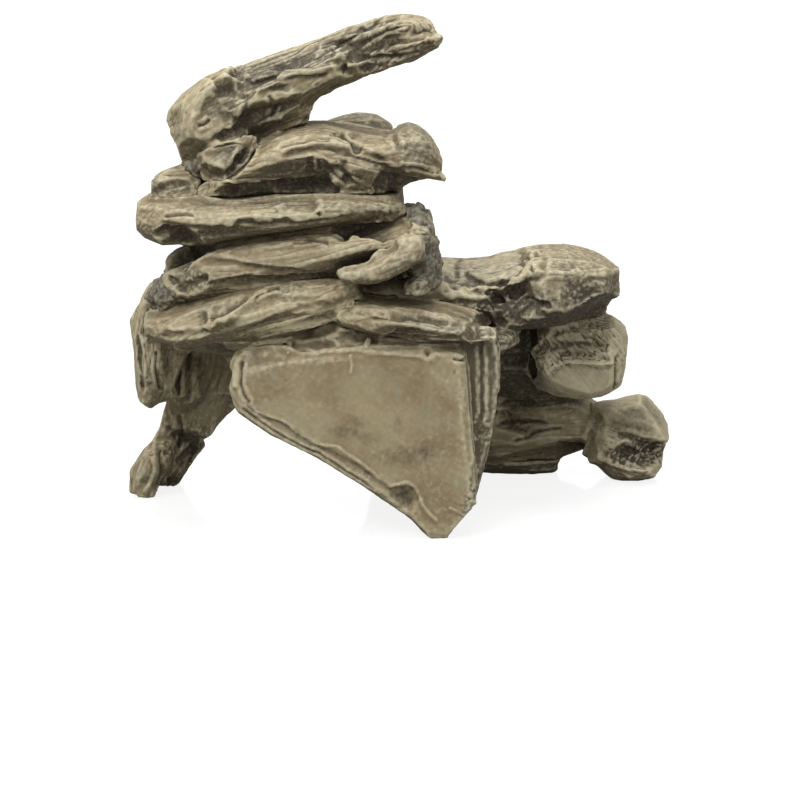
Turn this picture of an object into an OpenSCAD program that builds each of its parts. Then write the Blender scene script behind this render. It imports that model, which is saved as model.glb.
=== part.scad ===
// Cave ornament for an aquarium or pond: a stack of cast-resin stones, bedded on
// one another and pinned with dowels, that stands on four feet round a swim-through cave.
// +X runs along the ornament, +Y to its back, +Z up; the base plane is Z = 0.

/* [Overall] */
// Width that the stones are spread over
overall_w = 222; // [180:1:270]
// Depth that the stones are spread over
overall_d = 124; // [100:1:150]
// Clear height of the cave, from the base plane to the roof stone
cave_h = 63; // [50:1:80]

/* [Tower courses] */
// Thickness of the roof stone that carries the tower
roof_h = 14; // [11:0.5:18]
// Thickness of the first course
course1_h = 18; // [14:0.5:22]
// Thickness of the second course
course2_h = 19; // [15:0.5:23]
// Thickness of the third course
course3_h = 18; // [14:0.5:22]
// Thickness of the arched fourth course
course4_h = 26; // [21:0.5:32]
// Thickness of the crown at its root
crown_h = 30; // [24:0.5:36]
// How far each stone beds into the one below
bed = 1.5; // [1:0.1:2.5]

/* [Standing slabs] */
// Thickness of the front slab
front_t = 9; // [7:0.5:12]
// Thickness of the slab behind it
backing_t = 9; // [7:0.5:12]
// Thickness of the rear slab
rear_t = 12; // [9:0.5:15]
// Thickness of the left leg
leg_t = 14; // [11:0.5:17]
// Lean of the front slabs from upright
front_lean = 12; // [8:1:15]

/* [Right side] */
// Height of the long base stone
base_h = 38; // [30:1:44]
// Height of the thin footing under it
footing_h = 7; // [5:0.5:9]
// Thickness of the ledge
ledge_h = 26; // [21:0.5:31]

/* [Dowels] */
// Diameter of the dowels
dowel_d = 5; // [4:0.5:6]
// Radial clearance of a dowel in its hole
dowel_gap = 0.15; // [0.1:0.05:0.3]
// Depth of a dowel in the leg or slab that it stands in
pin_depth = 13; // [9:1:16]

/* [Hidden] */

design_w = 222;      // width at which the stones' stations below are laid out
design_d = 124;      // depth at which they are laid out
design_cave_h = 63;  // cave height at which the standing stones are laid out
sx = overall_w / design_w;
sy = overall_d / design_d;
sz = cave_h / design_cave_h;

sides = 14;      // points round a stone's cross-section
between = 2;     // rings from one station to the next
squareness = 2.8; // 2 is an ellipse, larger is a rounder box
wobble = 0.055;  // unevenness of a cross-section, as a share of its radius
below = 60;      // depth of the block that cuts the feet flat

// The stones are laid out from the cave's mouth; this is the middle of their outline
middle_x = 1 * sx;
middle_y = 9.25 * sy;

stone = "#8c7d5f";   // painted resin stone
rubble = "#6b6350";  // the darker rubble that beds the stones
pin = "#cfcabd";     // bare resin of the dowels

// Levels of the courses' middles, each bedded into the one below
roof_z = cave_h + roof_h / 2;
course1_z = cave_h + roof_h + course1_h / 2 - bed;
course2_z = course1_z + (course1_h + course2_h) / 2 - bed;
course3_z = course2_z + (course2_h + course3_h) / 2 - bed;
course4_z = course3_z + (course3_h + course4_h) / 2 - bed;
crown_z = course4_z + (course4_h + crown_h) / 2;
ledge_z = cave_h + roof_h + (ledge_h - roof_h) / 2 + bed;

// Ends of the dowels, as heights
pin_foot = cave_h + roof_h * 0.25;  // foot of the ones that stand in the roof stone
pin_roof = cave_h + roof_h * 0.7;   // top of the ones that reach up into it
pin_arch = course4_z + course4_h * 0.05;  // top of the ones through the courses
pin_crown = crown_z - crown_h * 0.3;      // top of the ones in the crown
pin_ledge = ledge_z;                      // top of the ones in the ledge

// --- stone shapes -----------------------------------------------------------

// A point of a smooth curve between b and c
function bend(a, b, c, d, t) =
    ((2 * b) + (c - a) * t + (2 * a - 5 * b + 4 * c - d) * t * t
    + (3 * b - a - 3 * c + d) * t * t * t) / 2;
// Stations with smooth ones added between them
function smooth(st) = [
    for (i = [0 : len(st) - 2], k = [0 : between - 1])
        bend(st[max(i - 1, 0)], st[i], st[i + 1], st[min(i + 2, len(st) - 1)], k / between),
    st[len(st) - 1]
];
function unit(v) = v / norm(v);
function signed_power(v, p) = sign(v) * pow(abs(v), p);
// Unevenness at angle a of ring i, from -1 to 1
function lump(seed, i, a) =
    0.5 * sin(2 * a + 77 * seed + 31 * i) + 0.3 * sin(3 * a - 53 * seed + 47 * i)
    + 0.2 * sin(5 * a + 19 * seed + 23 * i);
// The part of a station that is its centre
function centre(s) = [s[0], s[1], s[2]];
// One cross-section: a superellipse, s[3] wide along `across` and s[4] high along `up`
function section(s, across, up, seed, i) = [
    for (k = [0 : sides - 1])
        let (a = 360 * (k + 0.5) / sides, r = 1 + wobble * lump(seed, i, a))
            centre(s)
            + across * signed_power(cos(a), 2 / squareness) * s[3] / 2 * r
            + up * signed_power(sin(a), 2 / squareness) * s[4] / 2 * r
];

// The middle of a ring of points
function middle(ring) = [for (a = [0 : 2]) [for (p = ring) p[a]] * [for (p = ring) 1] / len(ring)];
// A closed solid through rings of equal count, with its ends closed to their middles
module skin(rings) {
    n = len(rings[0]);
    last = len(rings) - 1;
    start = (last + 1) * n;
    polyhedron(
        points = concat([for (r = rings, p = r) p], [middle(rings[0]), middle(rings[last])]),
        faces = concat(
            [for (k = [0 : n - 1]) [start, k, (k + 1) % n]],
            [for (k = [0 : n - 1]) [start + 1, last * n + (k + 1) % n, last * n + k]],
            [for (i = [0 : last - 1], k = [0 : n - 1])
                let (m = (k + 1) % n) [i * n + k, (i + 1) * n + k, (i + 1) * n + m]],
            [for (i = [0 : last - 1], k = [0 : n - 1])
                let (m = (k + 1) % n) [i * n + k, (i + 1) * n + m, i * n + m]]
        )
    );
}

// A stone that runs through its stations, each [x, y, z, width, height]. The width
// lies along `facing` and the height square to it and to the stone's run.
module run_stone(stations, seed, facing = [0, 1, 0]) {
    rings = smooth(stations);
    run = unit(centre(stations[len(stations) - 1]) - centre(stations[0]));
    across = unit(facing - run * (facing * run));
    up = cross(run, across);
    skin([for (i = [0 : len(rings) - 1]) section(rings[i], across, up, seed, i)]);
}

// A stone slab of an outline in the XZ plane, from Y = 0 back to Y = t, with worn rims
module slab_stone(outline, t, rim = 0.94) {
    mid = [for (a = [0, 1]) [for (p = outline) p[a]] * [for (p = outline) 1] / len(outline)];
    function layer(y, k) = [
        for (p = outline) [mid[0] + (p[0] - mid[0]) * k, y, mid[1] + (p[1] - mid[1]) * k]
    ];
    skin([layer(t, rim), layer(t * 0.75, 1), layer(t * 0.22, 1), layer(0, rim)]);
}

// A course's stations, whose z is counted from the course's middle and whose height
// is a share of the course's thickness
function course(z, h, st) =
    [for (s = st) [s[0] * sx, s[1] * sy, z + s[2], s[3] * sy, s[4] * h]];
// Stations of a stone that stands between the base plane and the roof
function standing(st) =
    [for (s = st) [s[0] * sx, s[1] * sy, s[2] * sz, s[3] * sy, s[4] * sx]];
// An outline of a standing slab
function upright(pts) = [for (p = pts) [p[0] * sx, p[1] * sz]];

// Puts the middle of the ornament's outline at the origin
module placed() {
    translate([-middle_x, -middle_y, 0]) children();
}
// Everything under the base plane
module ground() {
    translate([-overall_w, -overall_d, -below]) cube([2 * overall_w, 2 * overall_d, below]);
}

// --- dowels --------------------------------------------------------------------

// An upright dowel, or its hole where grow is over 0
module dowel(x, y, low, high, grow = 0) {
    translate([x, y, low - grow])
        cylinder(d = dowel_d + 2 * grow, h = high - low + 2 * grow, $fn = 32);
}
// The pair that strings the courses together
module tower_dowels_raw(grow = 0) {
    dowel(-52 * sx, -2 * sy, pin_foot, pin_arch, grow);
    dowel(-31 * sx, 5 * sy, pin_foot, pin_arch, grow);
}
// The pair that holds the leaning crown
module crown_dowels_raw(grow = 0) {
    dowel(-75 * sx, -3 * sy, course3_z, pin_crown, grow);
    dowel(-62 * sx, -2 * sy, course3_z, pin_crown, grow);
}
// The ones that stand up from the left leg and the rear slab into the roof stone
module leg_dowels_raw(grow = 0) {
    leg_frame() dowel(-79 * sx, leg_t / 2, cave_h - pin_depth, pin_roof, grow);
    rear_frame() dowel(6 * sx, rear_t / 2, cave_h - pin_depth, pin_roof, grow);
}
// The pair that joins the front slab to the slab behind it
module slab_dowels_raw(grow = 0) {
    for (x = [-14, 10]) front_frame()
        translate([x * sx, front_t * 0.4, cave_h * 0.94]) rotate([-90, 0, 0])
            dowel(0, 0, 0, front_t * 0.6 - bed + backing_t * 0.7, grow);
}
// The ones of the right side: ledge to roof, base to block to ledge, block to middle
// stone, and base to foot
module side_dowels_raw(grow = 0) {
    dowel(8 * sx, 16 * sy, pin_foot, pin_ledge, grow);
    dowel(50 * sx, 45 * sy, base_h * 0.5, pin_ledge, grow);
    translate([64 * sx, 18 * sy, between_z]) rotate([-90, 0, 0]) dowel(0, 0, 0, 26 * sy, grow);
    translate([72 * sx, 46 * sy, base_h * 0.48]) rotate([0, 90, 0])
        dowel(0, 0, 0, 28 * sx, grow);
}

// --- raw stones, before they are bedded on their neighbours -------------------

// Where the standing slabs stand: each frame has the slab's outline in its XZ plane
module leg_frame() {
    translate([-84 * sx, 16 * sy, 0]) rotate([0, 0, -14]) translate([84 * sx, 0, 0]) children();
}
module front_frame() {
    translate([0, -48 * sy, 0]) rotate([-front_lean, 0, 0]) children();
}
module rear_frame() {
    translate([0, 58 * sy, 0]) rotate([7, 0, 0]) translate([0, -rear_t, 0]) children();
}

module left_leg_raw() {
    leg_frame() slab_stone(upright([
        [-97, 67], [-98, 50], [-97, 38], [-100, 26], [-106, 16], [-113, 6], [-112, -3],
        [-97, -3], [-90, 8], [-81, 20], [-73, 30], [-66, 38], [-61, 52], [-60, 67],
    ]), leg_t);
}

module shoulder_stone_raw() {
    run_stone(standing([
        [-95, 8, 90, 20, 8], [-97, 7, 82, 30, 14], [-99, 6, 66, 34, 15],
        [-99.5, 6, 52, 30, 15], [-100, 6, 42, 20, 10],
    ]), 3);
}

module front_slab_raw() {
    front_frame() slab_stone(upright([
        [-63, 66], [-66, 58], [-63, 49], [-50, 40], [-32, 31], [-12, 19], [4, 8],
        [14, -3], [22, -3], [30, 10], [29, 24], [27, 42], [26, 60], [25, 71],
        [11, 74], [-10, 74], [-26, 72], [-44, 70],
    ]), front_t);
}

module backing_slab_raw() {
    front_frame() translate([0, front_t - bed, 0]) slab_stone(upright([
        [-34, 72], [-34, 56], [-18, 42], [2, 26], [20, 14], [30, 16], [35, 34],
        [38, 54], [39, 75], [35, 82], [14, 82], [-10, 78],
    ]), backing_t);
}

module rear_slab_raw() {
    rear_frame() slab_stone(upright([
        [-24, 67], [-28, 60], [-27, 50], [-23, 41], [-21, 32], [-14, 22], [-13, 13],
        [-8, 4], [-8, -3], [22, -3], [25, 7], [29, 14], [30, 26], [33, 38], [32, 54], [33, 67],
    ]), rear_t);
}

module footing_stone_raw() {
    run_stone([for (s = [
        [31, 53, 0.5, 16, 0.7], [38, 53, 0.5, 24, 1], [56, 53, 0.5, 26, 1], [67, 52, 0.5, 18, 0.8],
    ]) [s[0] * sx, s[1] * sy, s[2] * footing_h, s[3] * sy, s[4] * footing_h * 1.2]], 5);
}

module base_stone_raw() {
    run_stone([for (s = [
        [28, 51, 0.58, 20, 0.6], [36, 51, 0.55, 29, 0.85], [52, 51, 0.56, 32, 0.9],
        [68, 50, 0.57, 31, 0.84], [80, 48, 0.55, 26, 0.6], [86, 47, 0.52, 16, 0.4],
    ]) [s[0] * sx, s[1] * sy, s[2] * base_h, s[3] * sy, s[4] * base_h]], 7);
}

module foot_stone_raw() {
    run_stone([for (s = [
        [76, 46, 0.5, 18, 0.3], [83, 44, 0.48, 28, 0.6], [92, 42, 0.45, 34, 0.94],
        [102, 42, 0.43, 32, 0.96], [109, 42, 0.38, 24, 0.7], [112, 42, 0.36, 15, 0.4],
    ]) [s[0] * sx, s[1] * sy, s[2] * base_h, s[3] * sy, s[4] * base_h]], 9);
}

// The stones that fill the height between the base stone and the ledge
between_low = base_h * 0.95;
between_high = ledge_z - ledge_h / 2 + bed * 1.5;
between_h = between_high - between_low;
between_z = (between_high + between_low) / 2;

module mid_stone_raw() {
    run_stone([for (s = [
        [53, 27, 0.1, 26, 0.5], [59, 26, 0.04, 40, 0.8], [72, 26, 0.02, 46, 0.92],
        [84, 26, 0.02, 44, 0.9], [91, 26, 0, 30, 0.66],
    ]) [s[0] * sx, s[1] * sy, between_z + s[2] * between_h, s[3] * sy, s[4] * between_h]],
        11, [0, 1, -0.25]);
}

module rear_block_raw() {
    run_stone([for (s = [
        [30, 45, 0, 22, 0.7], [39, 46, 0, 30, 1], [56, 46, 0, 32, 1.08],
        [70, 47, 0, 28, 1], [77, 48, 0, 19, 0.6],
    ]) [s[0] * sx, s[1] * sy, between_z + s[2] * between_h, s[3] * sy, s[4] * between_h]], 13);
}

module roof_stone_raw() {
    run_stone(course(roof_z, roof_h, [
        [-94, 12, 0, 28, 0.6], [-84, 11, 0, 52, 0.9], [-64, 10, 0, 74, 1], [-38, 9, 0, 82, 1.03],
        [-8, 10, 0, 86, 1], [20, 13, -1, 84, 1], [38, 19, -1, 66, 0.9], [46, 21, -1, 46, 0.6],
    ]), 15);
}

module lintel_stone_raw() {
    run_stone(course(roof_z + roof_h / 2, roof_h, [
        [-24, -19, 6, 26, 0.5], [-12, -19, 5.5, 38, 0.8], [6, -19, 4, 42, 0.85],
        [24, -18, 2, 40, 0.75], [37, -15, 0.5, 30, 0.5],
    ]), 17);
}

module ledge_stone_raw() {
    run_stone(course(ledge_z, ledge_h, [
        [-20, 16, 3, 50, 0.5], [0, 18, 2.5, 64, 0.72], [20, 20, 0.5, 72, 0.82],
        [38, 21, -0.5, 72, 0.94], [52, 21, 1.5, 70, 1.06], [66, 20, 2.5, 64, 1.04],
        [79, 19, 1.5, 52, 0.94], [88, 18, 1.5, 36, 0.6],
    ]), 19);
}

module under_course_raw() {
    run_stone(course(roof_z + roof_h / 2, roof_h, [
        [-72, -4, -2, 46, 0.5], [-52, -4, 1, 60, 0.65], [-32, -4, 6.5, 60, 0.65],
        [-17, -5, 10, 46, 0.5],
    ]), 21);
}

module course1_stone_raw() {
    run_stone(course(course1_z, course1_h, [
        [-99, -1, -8, 36, 0.5], [-86, -3, -7.5, 56, 0.9], [-62, -4, -1.5, 62, 1],
        [-40, -4, 3, 62, 0.95], [-24, -5, 6.5, 54, 0.78], [-15, -5, 8, 40, 0.5],
    ]), 23);
}

module course2_stone_raw() {
    run_stone(course(course2_z, course2_h, [
        [-92, -1, -5.5, 30, 0.4], [-85, -2, -6, 48, 0.95], [-65, -2, -1.5, 56, 1],
        [-40, -2, 2.5, 58, 1], [-15, -2, 6, 58, 1.08], [4, 0, 9.5, 50, 0.98],
        [13, 1, 12.5, 34, 0.55],
    ]), 25);
}

module course3_stone_raw() {
    run_stone(course(course3_z, course3_h, [
        [-102, -2, 0, 30, 0.6], [-93, -3, -1, 46, 1.08], [-75, -3, 0, 54, 1.05],
        [-50, -2, 2.5, 56, 0.86], [-25, -1, 4.5, 54, 0.72], [-5, 0, 5, 44, 0.55],
        [1, 0, 5, 32, 0.4],
    ]), 27);
}

module arch_stone_raw() {
    run_stone(course(course4_z, course4_h, [
        [-78, -3, -10, 26, 0.2], [-64, -3, -7.5, 42, 0.42], [-52, -2, -2, 48, 0.8],
        [-40, -2, 1, 50, 1], [-28, -1, 1.5, 50, 1.08], [-14, 0, 0, 48, 0.98],
        [-4, 0, 0, 44, 0.88], [5, 1, 3.5, 42, 0.9], [12, 1, 2.5, 32, 0.62],
        [16, 1, -0.5, 20, 0.32],
    ]), 29);
}

module crown_stone_raw() {
    run_stone(course(crown_z, crown_h, [
        [-87, -4, -19, 18, 0.62], [-78, -4, -15.5, 27, 1], [-66, -4, -8.5, 30, 1.05],
        [-52, -3, 0, 28, 0.96], [-38, -2, 6, 25, 0.76], [-24, 0, 11, 24, 0.68],
        [-8, 1, 17, 25, 0.7], [5, 2, 21, 24, 0.6], [14, 3, 21.5, 15, 0.34],
    ]), 31);
}

module knuckle_stone_raw() {
    run_stone(course(course4_z, course4_h, [
        [-75, -11, 1, 16, 0.35], [-68, -12, 2, 24, 0.62], [-60, -12, 2.5, 24, 0.66],
        [-54, -11, 3, 15, 0.4],
    ]), 33);
}

module chip_stone_raw() {
    run_stone(course(course3_z + course3_h / 2, course3_h, [
        [-96, -5, 2.5, 14, 0.4], [-90, -6, 4, 24, 0.6], [-82, -6, 4.5, 25, 0.62],
        [-76, -6, 3, 16, 0.4],
    ]), 35);
}

module back_stone_raw() {
    run_stone(course(course4_z, course4_h, [
        [-31, 24, 8, 14, 0.3], [-22, 25, 8.5, 22, 0.56], [-11, 25, 8.5, 22, 0.58],
        [-3, 24, 7, 14, 0.35],
    ]), 37);
}

module finger_stone_raw() {
    run_stone(course(course2_z, course2_h, [
        [-23, -28, -2, 11, 0.25], [-13, -30, -1.5, 13, 0.38], [-4, -31, 2, 13, 0.46],
        [5, -31, 8, 13, 0.52], [9, -30, 11, 9, 0.36],
    ]), 39);
}

module wedge_stone_raw() {
    run_stone(course(course1_z, course1_h, [
        [2, -25, 9, 9, 0.25], [6, -26, 10, 12, 0.4], [11, -26, 10, 10, 0.32],
    ]), 41);
}

module rear_buttress_raw() {
    run_stone(course(course2_z, course2_h, [
        [-66, 30, -18, 14, 0.5], [-54, 32, -16, 18, 0.9], [-36, 32, -12, 20, 1.1],
        [-18, 32, -10, 20, 1], [-4, 30, -8, 14, 0.55],
    ]), 43);
}

module tower_rubble_raw() {
    run_stone(course(course2_z, course2_h * sx, [
        [6, -4, 21, 20, 0.3], [7, -5, 14, 34, 0.6], [8, -7, 4, 38, 0.7],
        [10, -9, -5, 34, 0.6], [12, -10, -11, 22, 0.36],
    ]), 45);
}

module shoulder_rubble_raw() {
    run_stone(course(course1_z, course1_h, [
        [-98, -4, 2, 18, 0.3], [-93, -5, 4.5, 30, 0.6], [-86, -5, 6.5, 32, 0.6],
        [-80, -5, 6, 22, 0.35],
    ]), 47);
}

module crown_bedding_raw() {
    run_stone(course(course4_z, course4_h, [
        [-84, -2, -7, 14, 0.3], [-76, -2, -3, 26, 0.62], [-64, 0, 0, 28, 0.85],
        [-54, 2, 5, 24, 0.55], [-46, 3, 10, 14, 0.3],
    ]), 49);
}

// --- the pieces, each bedded on the ones placed before it ---------------------

module left_leg() {
    color(stone) placed() difference() {
        left_leg_raw();
        ground();
        leg_dowels_raw(dowel_gap);
    }
}

module shoulder_stone() {
    color(stone) placed() difference() {
        shoulder_stone_raw();
        left_leg_raw();
        roof_stone_raw();
        course2_stone_raw();
    }
}

module front_slab() {
    color(stone) placed() difference() {
        front_slab_raw();
        ground();
        slab_dowels_raw(dowel_gap);
    }
}

module backing_slab() {
    color(stone) placed() difference() {
        backing_slab_raw();
        front_slab_raw();
        slab_dowels_raw(dowel_gap);
    }
}

module rear_slab() {
    color(stone) placed() difference() {
        rear_slab_raw();
        ground();
        leg_dowels_raw(dowel_gap);
    }
}

module footing_stone() {
    color(stone) placed() difference() {
        footing_stone_raw();
        ground();
        rear_slab_raw();
    }
}

module base_stone() {
    color(stone) placed() difference() {
        base_stone_raw();
        footing_stone_raw();
        rear_slab_raw();
        side_dowels_raw(dowel_gap);
    }
}

module foot_stone() {
    color(stone) placed() difference() {
        foot_stone_raw();
        ground();
        base_stone_raw();
        side_dowels_raw(dowel_gap);
    }
}

module mid_stone() {
    color(stone) placed() difference() {
        mid_stone_raw();
        base_stone_raw();
        foot_stone_raw();
        rear_block_raw();
        side_dowels_raw(dowel_gap);
    }
}

module rear_block() {
    color(stone) placed() difference() {
        rear_block_raw();
        base_stone_raw();
        rear_slab_raw();
        roof_stone_raw();
        side_dowels_raw(dowel_gap);
    }
}

module roof_stone() {
    color(stone) placed() difference() {
        roof_stone_raw();
        left_leg_raw();
        front_slab_raw();
        backing_slab_raw();
        rear_slab_raw();
        leg_dowels_raw(dowel_gap);
        tower_dowels_raw(dowel_gap);
        side_dowels_raw(dowel_gap);
    }
}

module lintel_stone() {
    color(stone) placed() difference() {
        lintel_stone_raw();
        roof_stone_raw();
        front_slab_raw();
        backing_slab_raw();
    }
}

module ledge_stone() {
    color(stone) placed() difference() {
        ledge_stone_raw();
        roof_stone_raw();
        lintel_stone_raw();
        mid_stone_raw();
        rear_block_raw();
        side_dowels_raw(dowel_gap);
    }
}

module under_course() {
    color(stone) placed() difference() {
        under_course_raw();
        roof_stone_raw();
        lintel_stone_raw();
        ledge_stone_raw();
        tower_dowels_raw(dowel_gap);
    }
}

module course1_stone() {
    color(stone) placed() difference() {
        course1_stone_raw();
        roof_stone_raw();
        under_course_raw();
        lintel_stone_raw();
        ledge_stone_raw();
        shoulder_stone_raw();
        tower_dowels_raw(dowel_gap);
    }
}

module course2_stone() {
    color(stone) placed() difference() {
        course2_stone_raw();
        course1_stone_raw();
        ledge_stone_raw();
        tower_dowels_raw(dowel_gap);
    }
}

module course3_stone() {
    color(stone) placed() difference() {
        course3_stone_raw();
        course2_stone_raw();
        tower_dowels_raw(dowel_gap);
        crown_dowels_raw(dowel_gap);
    }
}

module arch_stone() {
    color(stone) placed() difference() {
        arch_stone_raw();
        course3_stone_raw();
        tower_dowels_raw(dowel_gap);
        crown_dowels_raw(dowel_gap);
    }
}

module crown_stone() {
    color(stone) placed() difference() {
        crown_stone_raw();
        arch_stone_raw();
        crown_dowels_raw(dowel_gap);
    }
}

module knuckle_stone() {
    color(stone) placed() difference() {
        knuckle_stone_raw();
        course3_stone_raw();
        arch_stone_raw();
        crown_stone_raw();
        crown_dowels_raw(dowel_gap);
    }
}

module chip_stone() {
    color(stone) placed() difference() {
        chip_stone_raw();
        course3_stone_raw();
        arch_stone_raw();
        crown_dowels_raw(dowel_gap);
    }
}

module back_stone() {
    color(stone) placed() difference() {
        back_stone_raw();
        arch_stone_raw();
    }
}

module finger_stone() {
    color(stone) placed() difference() {
        finger_stone_raw();
        course2_stone_raw();
        course1_stone_raw();
        ledge_stone_raw();
        lintel_stone_raw();
    }
}

module wedge_stone() {
    color(stone) placed() difference() {
        wedge_stone_raw();
        ledge_stone_raw();
        course2_stone_raw();
        finger_stone_raw();
        course1_stone_raw();
    }
}

module rear_buttress() {
    color(stone) placed() difference() {
        rear_buttress_raw();
        roof_stone_raw();
        ledge_stone_raw();
        under_course_raw();
        course1_stone_raw();
        course2_stone_raw();
    }
}

module tower_rubble() {
    color(rubble) placed() difference() {
        tower_rubble_raw();
        course1_stone_raw();
        course2_stone_raw();
        course3_stone_raw();
        ledge_stone_raw();
        finger_stone_raw();
        wedge_stone_raw();
    }
}

module shoulder_rubble() {
    color(rubble) placed() difference() {
        shoulder_rubble_raw();
        shoulder_stone_raw();
        course1_stone_raw();
        course2_stone_raw();
    }
}

module crown_bedding() {
    color(rubble) placed() difference() {
        crown_bedding_raw();
        course3_stone_raw();
        arch_stone_raw();
        crown_stone_raw();
        knuckle_stone_raw();
        chip_stone_raw();
        crown_dowels_raw(dowel_gap);
    }
}

module tower_dowels() {
    color(pin) placed() tower_dowels_raw();
}

module crown_dowels() {
    color(pin) placed() crown_dowels_raw();
}

module leg_dowels() {
    color(pin) placed() leg_dowels_raw();
}

module slab_dowels() {
    color(pin) placed() slab_dowels_raw();
}

module side_dowels() {
    color(pin) placed() side_dowels_raw();
}

left_leg();
shoulder_stone();
front_slab();
backing_slab();
rear_slab();
footing_stone();
base_stone();
foot_stone();
mid_stone();
rear_block();
roof_stone();
lintel_stone();
ledge_stone();
under_course();
course1_stone();
course2_stone();
course3_stone();
arch_stone();
crown_stone();
knuckle_stone();
chip_stone();
back_stone();
finger_stone();
wedge_stone();
rear_buttress();
tower_rubble();
shoulder_rubble();
crown_bedding();
tower_dowels();
crown_dowels();
leg_dowels();
slab_dowels();
side_dowels();
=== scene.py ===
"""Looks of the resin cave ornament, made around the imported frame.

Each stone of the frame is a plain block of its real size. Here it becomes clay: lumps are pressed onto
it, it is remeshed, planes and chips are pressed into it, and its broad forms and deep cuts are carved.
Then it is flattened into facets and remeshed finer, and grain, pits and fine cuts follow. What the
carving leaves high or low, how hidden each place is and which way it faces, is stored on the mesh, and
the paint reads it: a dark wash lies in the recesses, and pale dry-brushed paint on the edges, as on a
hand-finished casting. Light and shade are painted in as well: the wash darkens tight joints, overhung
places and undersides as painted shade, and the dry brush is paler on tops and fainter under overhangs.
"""
import logging
import math
from dataclasses import dataclass
from enum import Enum

import bmesh
import bpy
import numpy as np
from mathutils import Matrix, Vector
from mathutils.bvhtree import BVHTree


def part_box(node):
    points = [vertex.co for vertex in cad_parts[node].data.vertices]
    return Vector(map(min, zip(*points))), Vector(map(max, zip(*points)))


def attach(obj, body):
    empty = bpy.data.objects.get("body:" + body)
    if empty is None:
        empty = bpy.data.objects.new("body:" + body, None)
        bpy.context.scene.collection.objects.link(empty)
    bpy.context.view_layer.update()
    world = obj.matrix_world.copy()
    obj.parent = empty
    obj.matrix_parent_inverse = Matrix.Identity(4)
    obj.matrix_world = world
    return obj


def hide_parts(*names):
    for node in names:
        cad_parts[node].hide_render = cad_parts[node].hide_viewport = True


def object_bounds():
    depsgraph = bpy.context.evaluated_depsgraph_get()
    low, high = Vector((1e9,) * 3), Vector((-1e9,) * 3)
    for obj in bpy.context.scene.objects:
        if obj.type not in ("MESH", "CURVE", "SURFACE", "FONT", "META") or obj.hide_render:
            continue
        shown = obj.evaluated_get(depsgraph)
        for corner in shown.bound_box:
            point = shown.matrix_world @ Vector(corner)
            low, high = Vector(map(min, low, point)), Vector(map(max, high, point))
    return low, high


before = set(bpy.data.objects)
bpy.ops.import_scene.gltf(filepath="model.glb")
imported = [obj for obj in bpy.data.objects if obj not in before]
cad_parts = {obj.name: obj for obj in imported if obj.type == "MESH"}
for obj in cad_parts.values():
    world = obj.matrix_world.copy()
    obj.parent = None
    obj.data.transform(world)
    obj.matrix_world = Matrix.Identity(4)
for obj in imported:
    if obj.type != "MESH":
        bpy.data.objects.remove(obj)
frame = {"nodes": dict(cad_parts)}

MM = 0.001
CAD_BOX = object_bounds()
BODY = "root"
log = logging.getLogger("cave_ornament")

# All in millimetres: the faces of the rough and of the fine clay, and the gap between corners that are one.
ROUGH_VOXEL = 1.2
FINE_VOXEL = 0.6
MERGED = 0.005


def linear(hex_colour: str) -> tuple[float, float, float, float]:
    """Turns an sRGB hex colour into the linear values that shaders take.

    Args:
        hex_colour: Six digits after a hash sign.

    Returns:
        Red, green, blue and a full alpha.
    """
    parts = [int(hex_colour[i:i + 2], 16) / 255 for i in (1, 3, 5)]
    return tuple(p / 12.92 if p <= 0.04045 else ((p + 0.055) / 1.055) ** 2.4 for p in parts) + (1.0,)


def smoothstep(low: float, high: float, values: np.ndarray) -> np.ndarray:
    """Goes smoothly from 0 at low to 1 at high, and the other way round where high is the lower one."""
    share = np.clip((values - low) / (high - low), 0, 1)
    return share * share * (3 - 2 * share)


class Noise:
    """Gradient noise that is the same on every run for one seed. The gain brings it to about -1 to 1."""

    CELLS = 256
    GAIN = 1.6

    def __init__(self, seed: int) -> None:
        """Draws the lattice's order and its arrows.

        Args:
            seed: The same seed gives the same noise.
        """
        draw = np.random.default_rng(seed)
        self.order = np.tile(draw.permutation(self.CELLS), 3)
        arrows = draw.normal(size=(self.CELLS, 3))
        self.arrows = (arrows / np.linalg.norm(arrows, axis=1, keepdims=True)).astype(np.float32)
        self.seats = draw.random((self.CELLS, 3), dtype=np.float32)

    def _hash(self, cell: np.ndarray, step: tuple[int, int, int]) -> np.ndarray:
        """Picks a lattice entry for the cells that lie a step away.

        Args:
            cell: Whole cell numbers in rows.
            step: How many cells away, along each axis.

        Returns:
            One entry's number for each row.
        """
        found = self.order[(cell[:, 0] + step[0]) % self.CELLS]
        found = self.order[found + (cell[:, 1] + step[1]) % self.CELLS]
        return self.order[found + (cell[:, 2] + step[2]) % self.CELLS]

    def wave(self, points: np.ndarray) -> np.ndarray:
        """Smooth noise of about -1 to 1 at each point, with one bump per unit.

        Args:
            points: Places in rows.

        Returns:
            One value for each row.
        """
        floor = np.floor(points)
        cell = floor.astype(np.int64)
        offset = (points - floor).astype(np.float32)
        blend = offset ** 3 * (offset * (offset * 6 - 15) + 10)
        total = np.zeros(len(points), np.float32)
        for corner in np.ndindex(2, 2, 2):
            arrow = self.arrows[self._hash(cell, corner)]
            height = np.einsum("ij,ij->i", arrow, offset - np.array(corner, np.float32))
            weight = np.prod(np.where(corner, blend, 1 - blend), axis=1)
            total += height * weight
        return total * self.GAIN

    def layered(self, points: np.ndarray) -> np.ndarray:
        """Noise with a second one added that is half as high and twice as fine."""
        return self.wave(points) + self.wave(points * 2 + 19.7) * 0.5

    def grains(self, points: np.ndarray) -> np.ndarray:
        """Distance to the nearest of one seat per unit cell, which shows as packed grains.

        Args:
            points: Places in rows.

        Returns:
            One distance for each row.
        """
        floor = np.floor(points)
        cell = floor.astype(np.int64)
        offset = (points - floor).astype(np.float32)
        nearest = np.full(len(points), np.inf, np.float32)
        for step in np.ndindex(3, 3, 3):
            move = np.array(step) - 1
            seat = self.seats[self._hash(cell, tuple(move))] + move
            nearest = np.minimum(nearest, np.sum((seat - offset) ** 2, axis=1))
        return np.sqrt(nearest)


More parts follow.
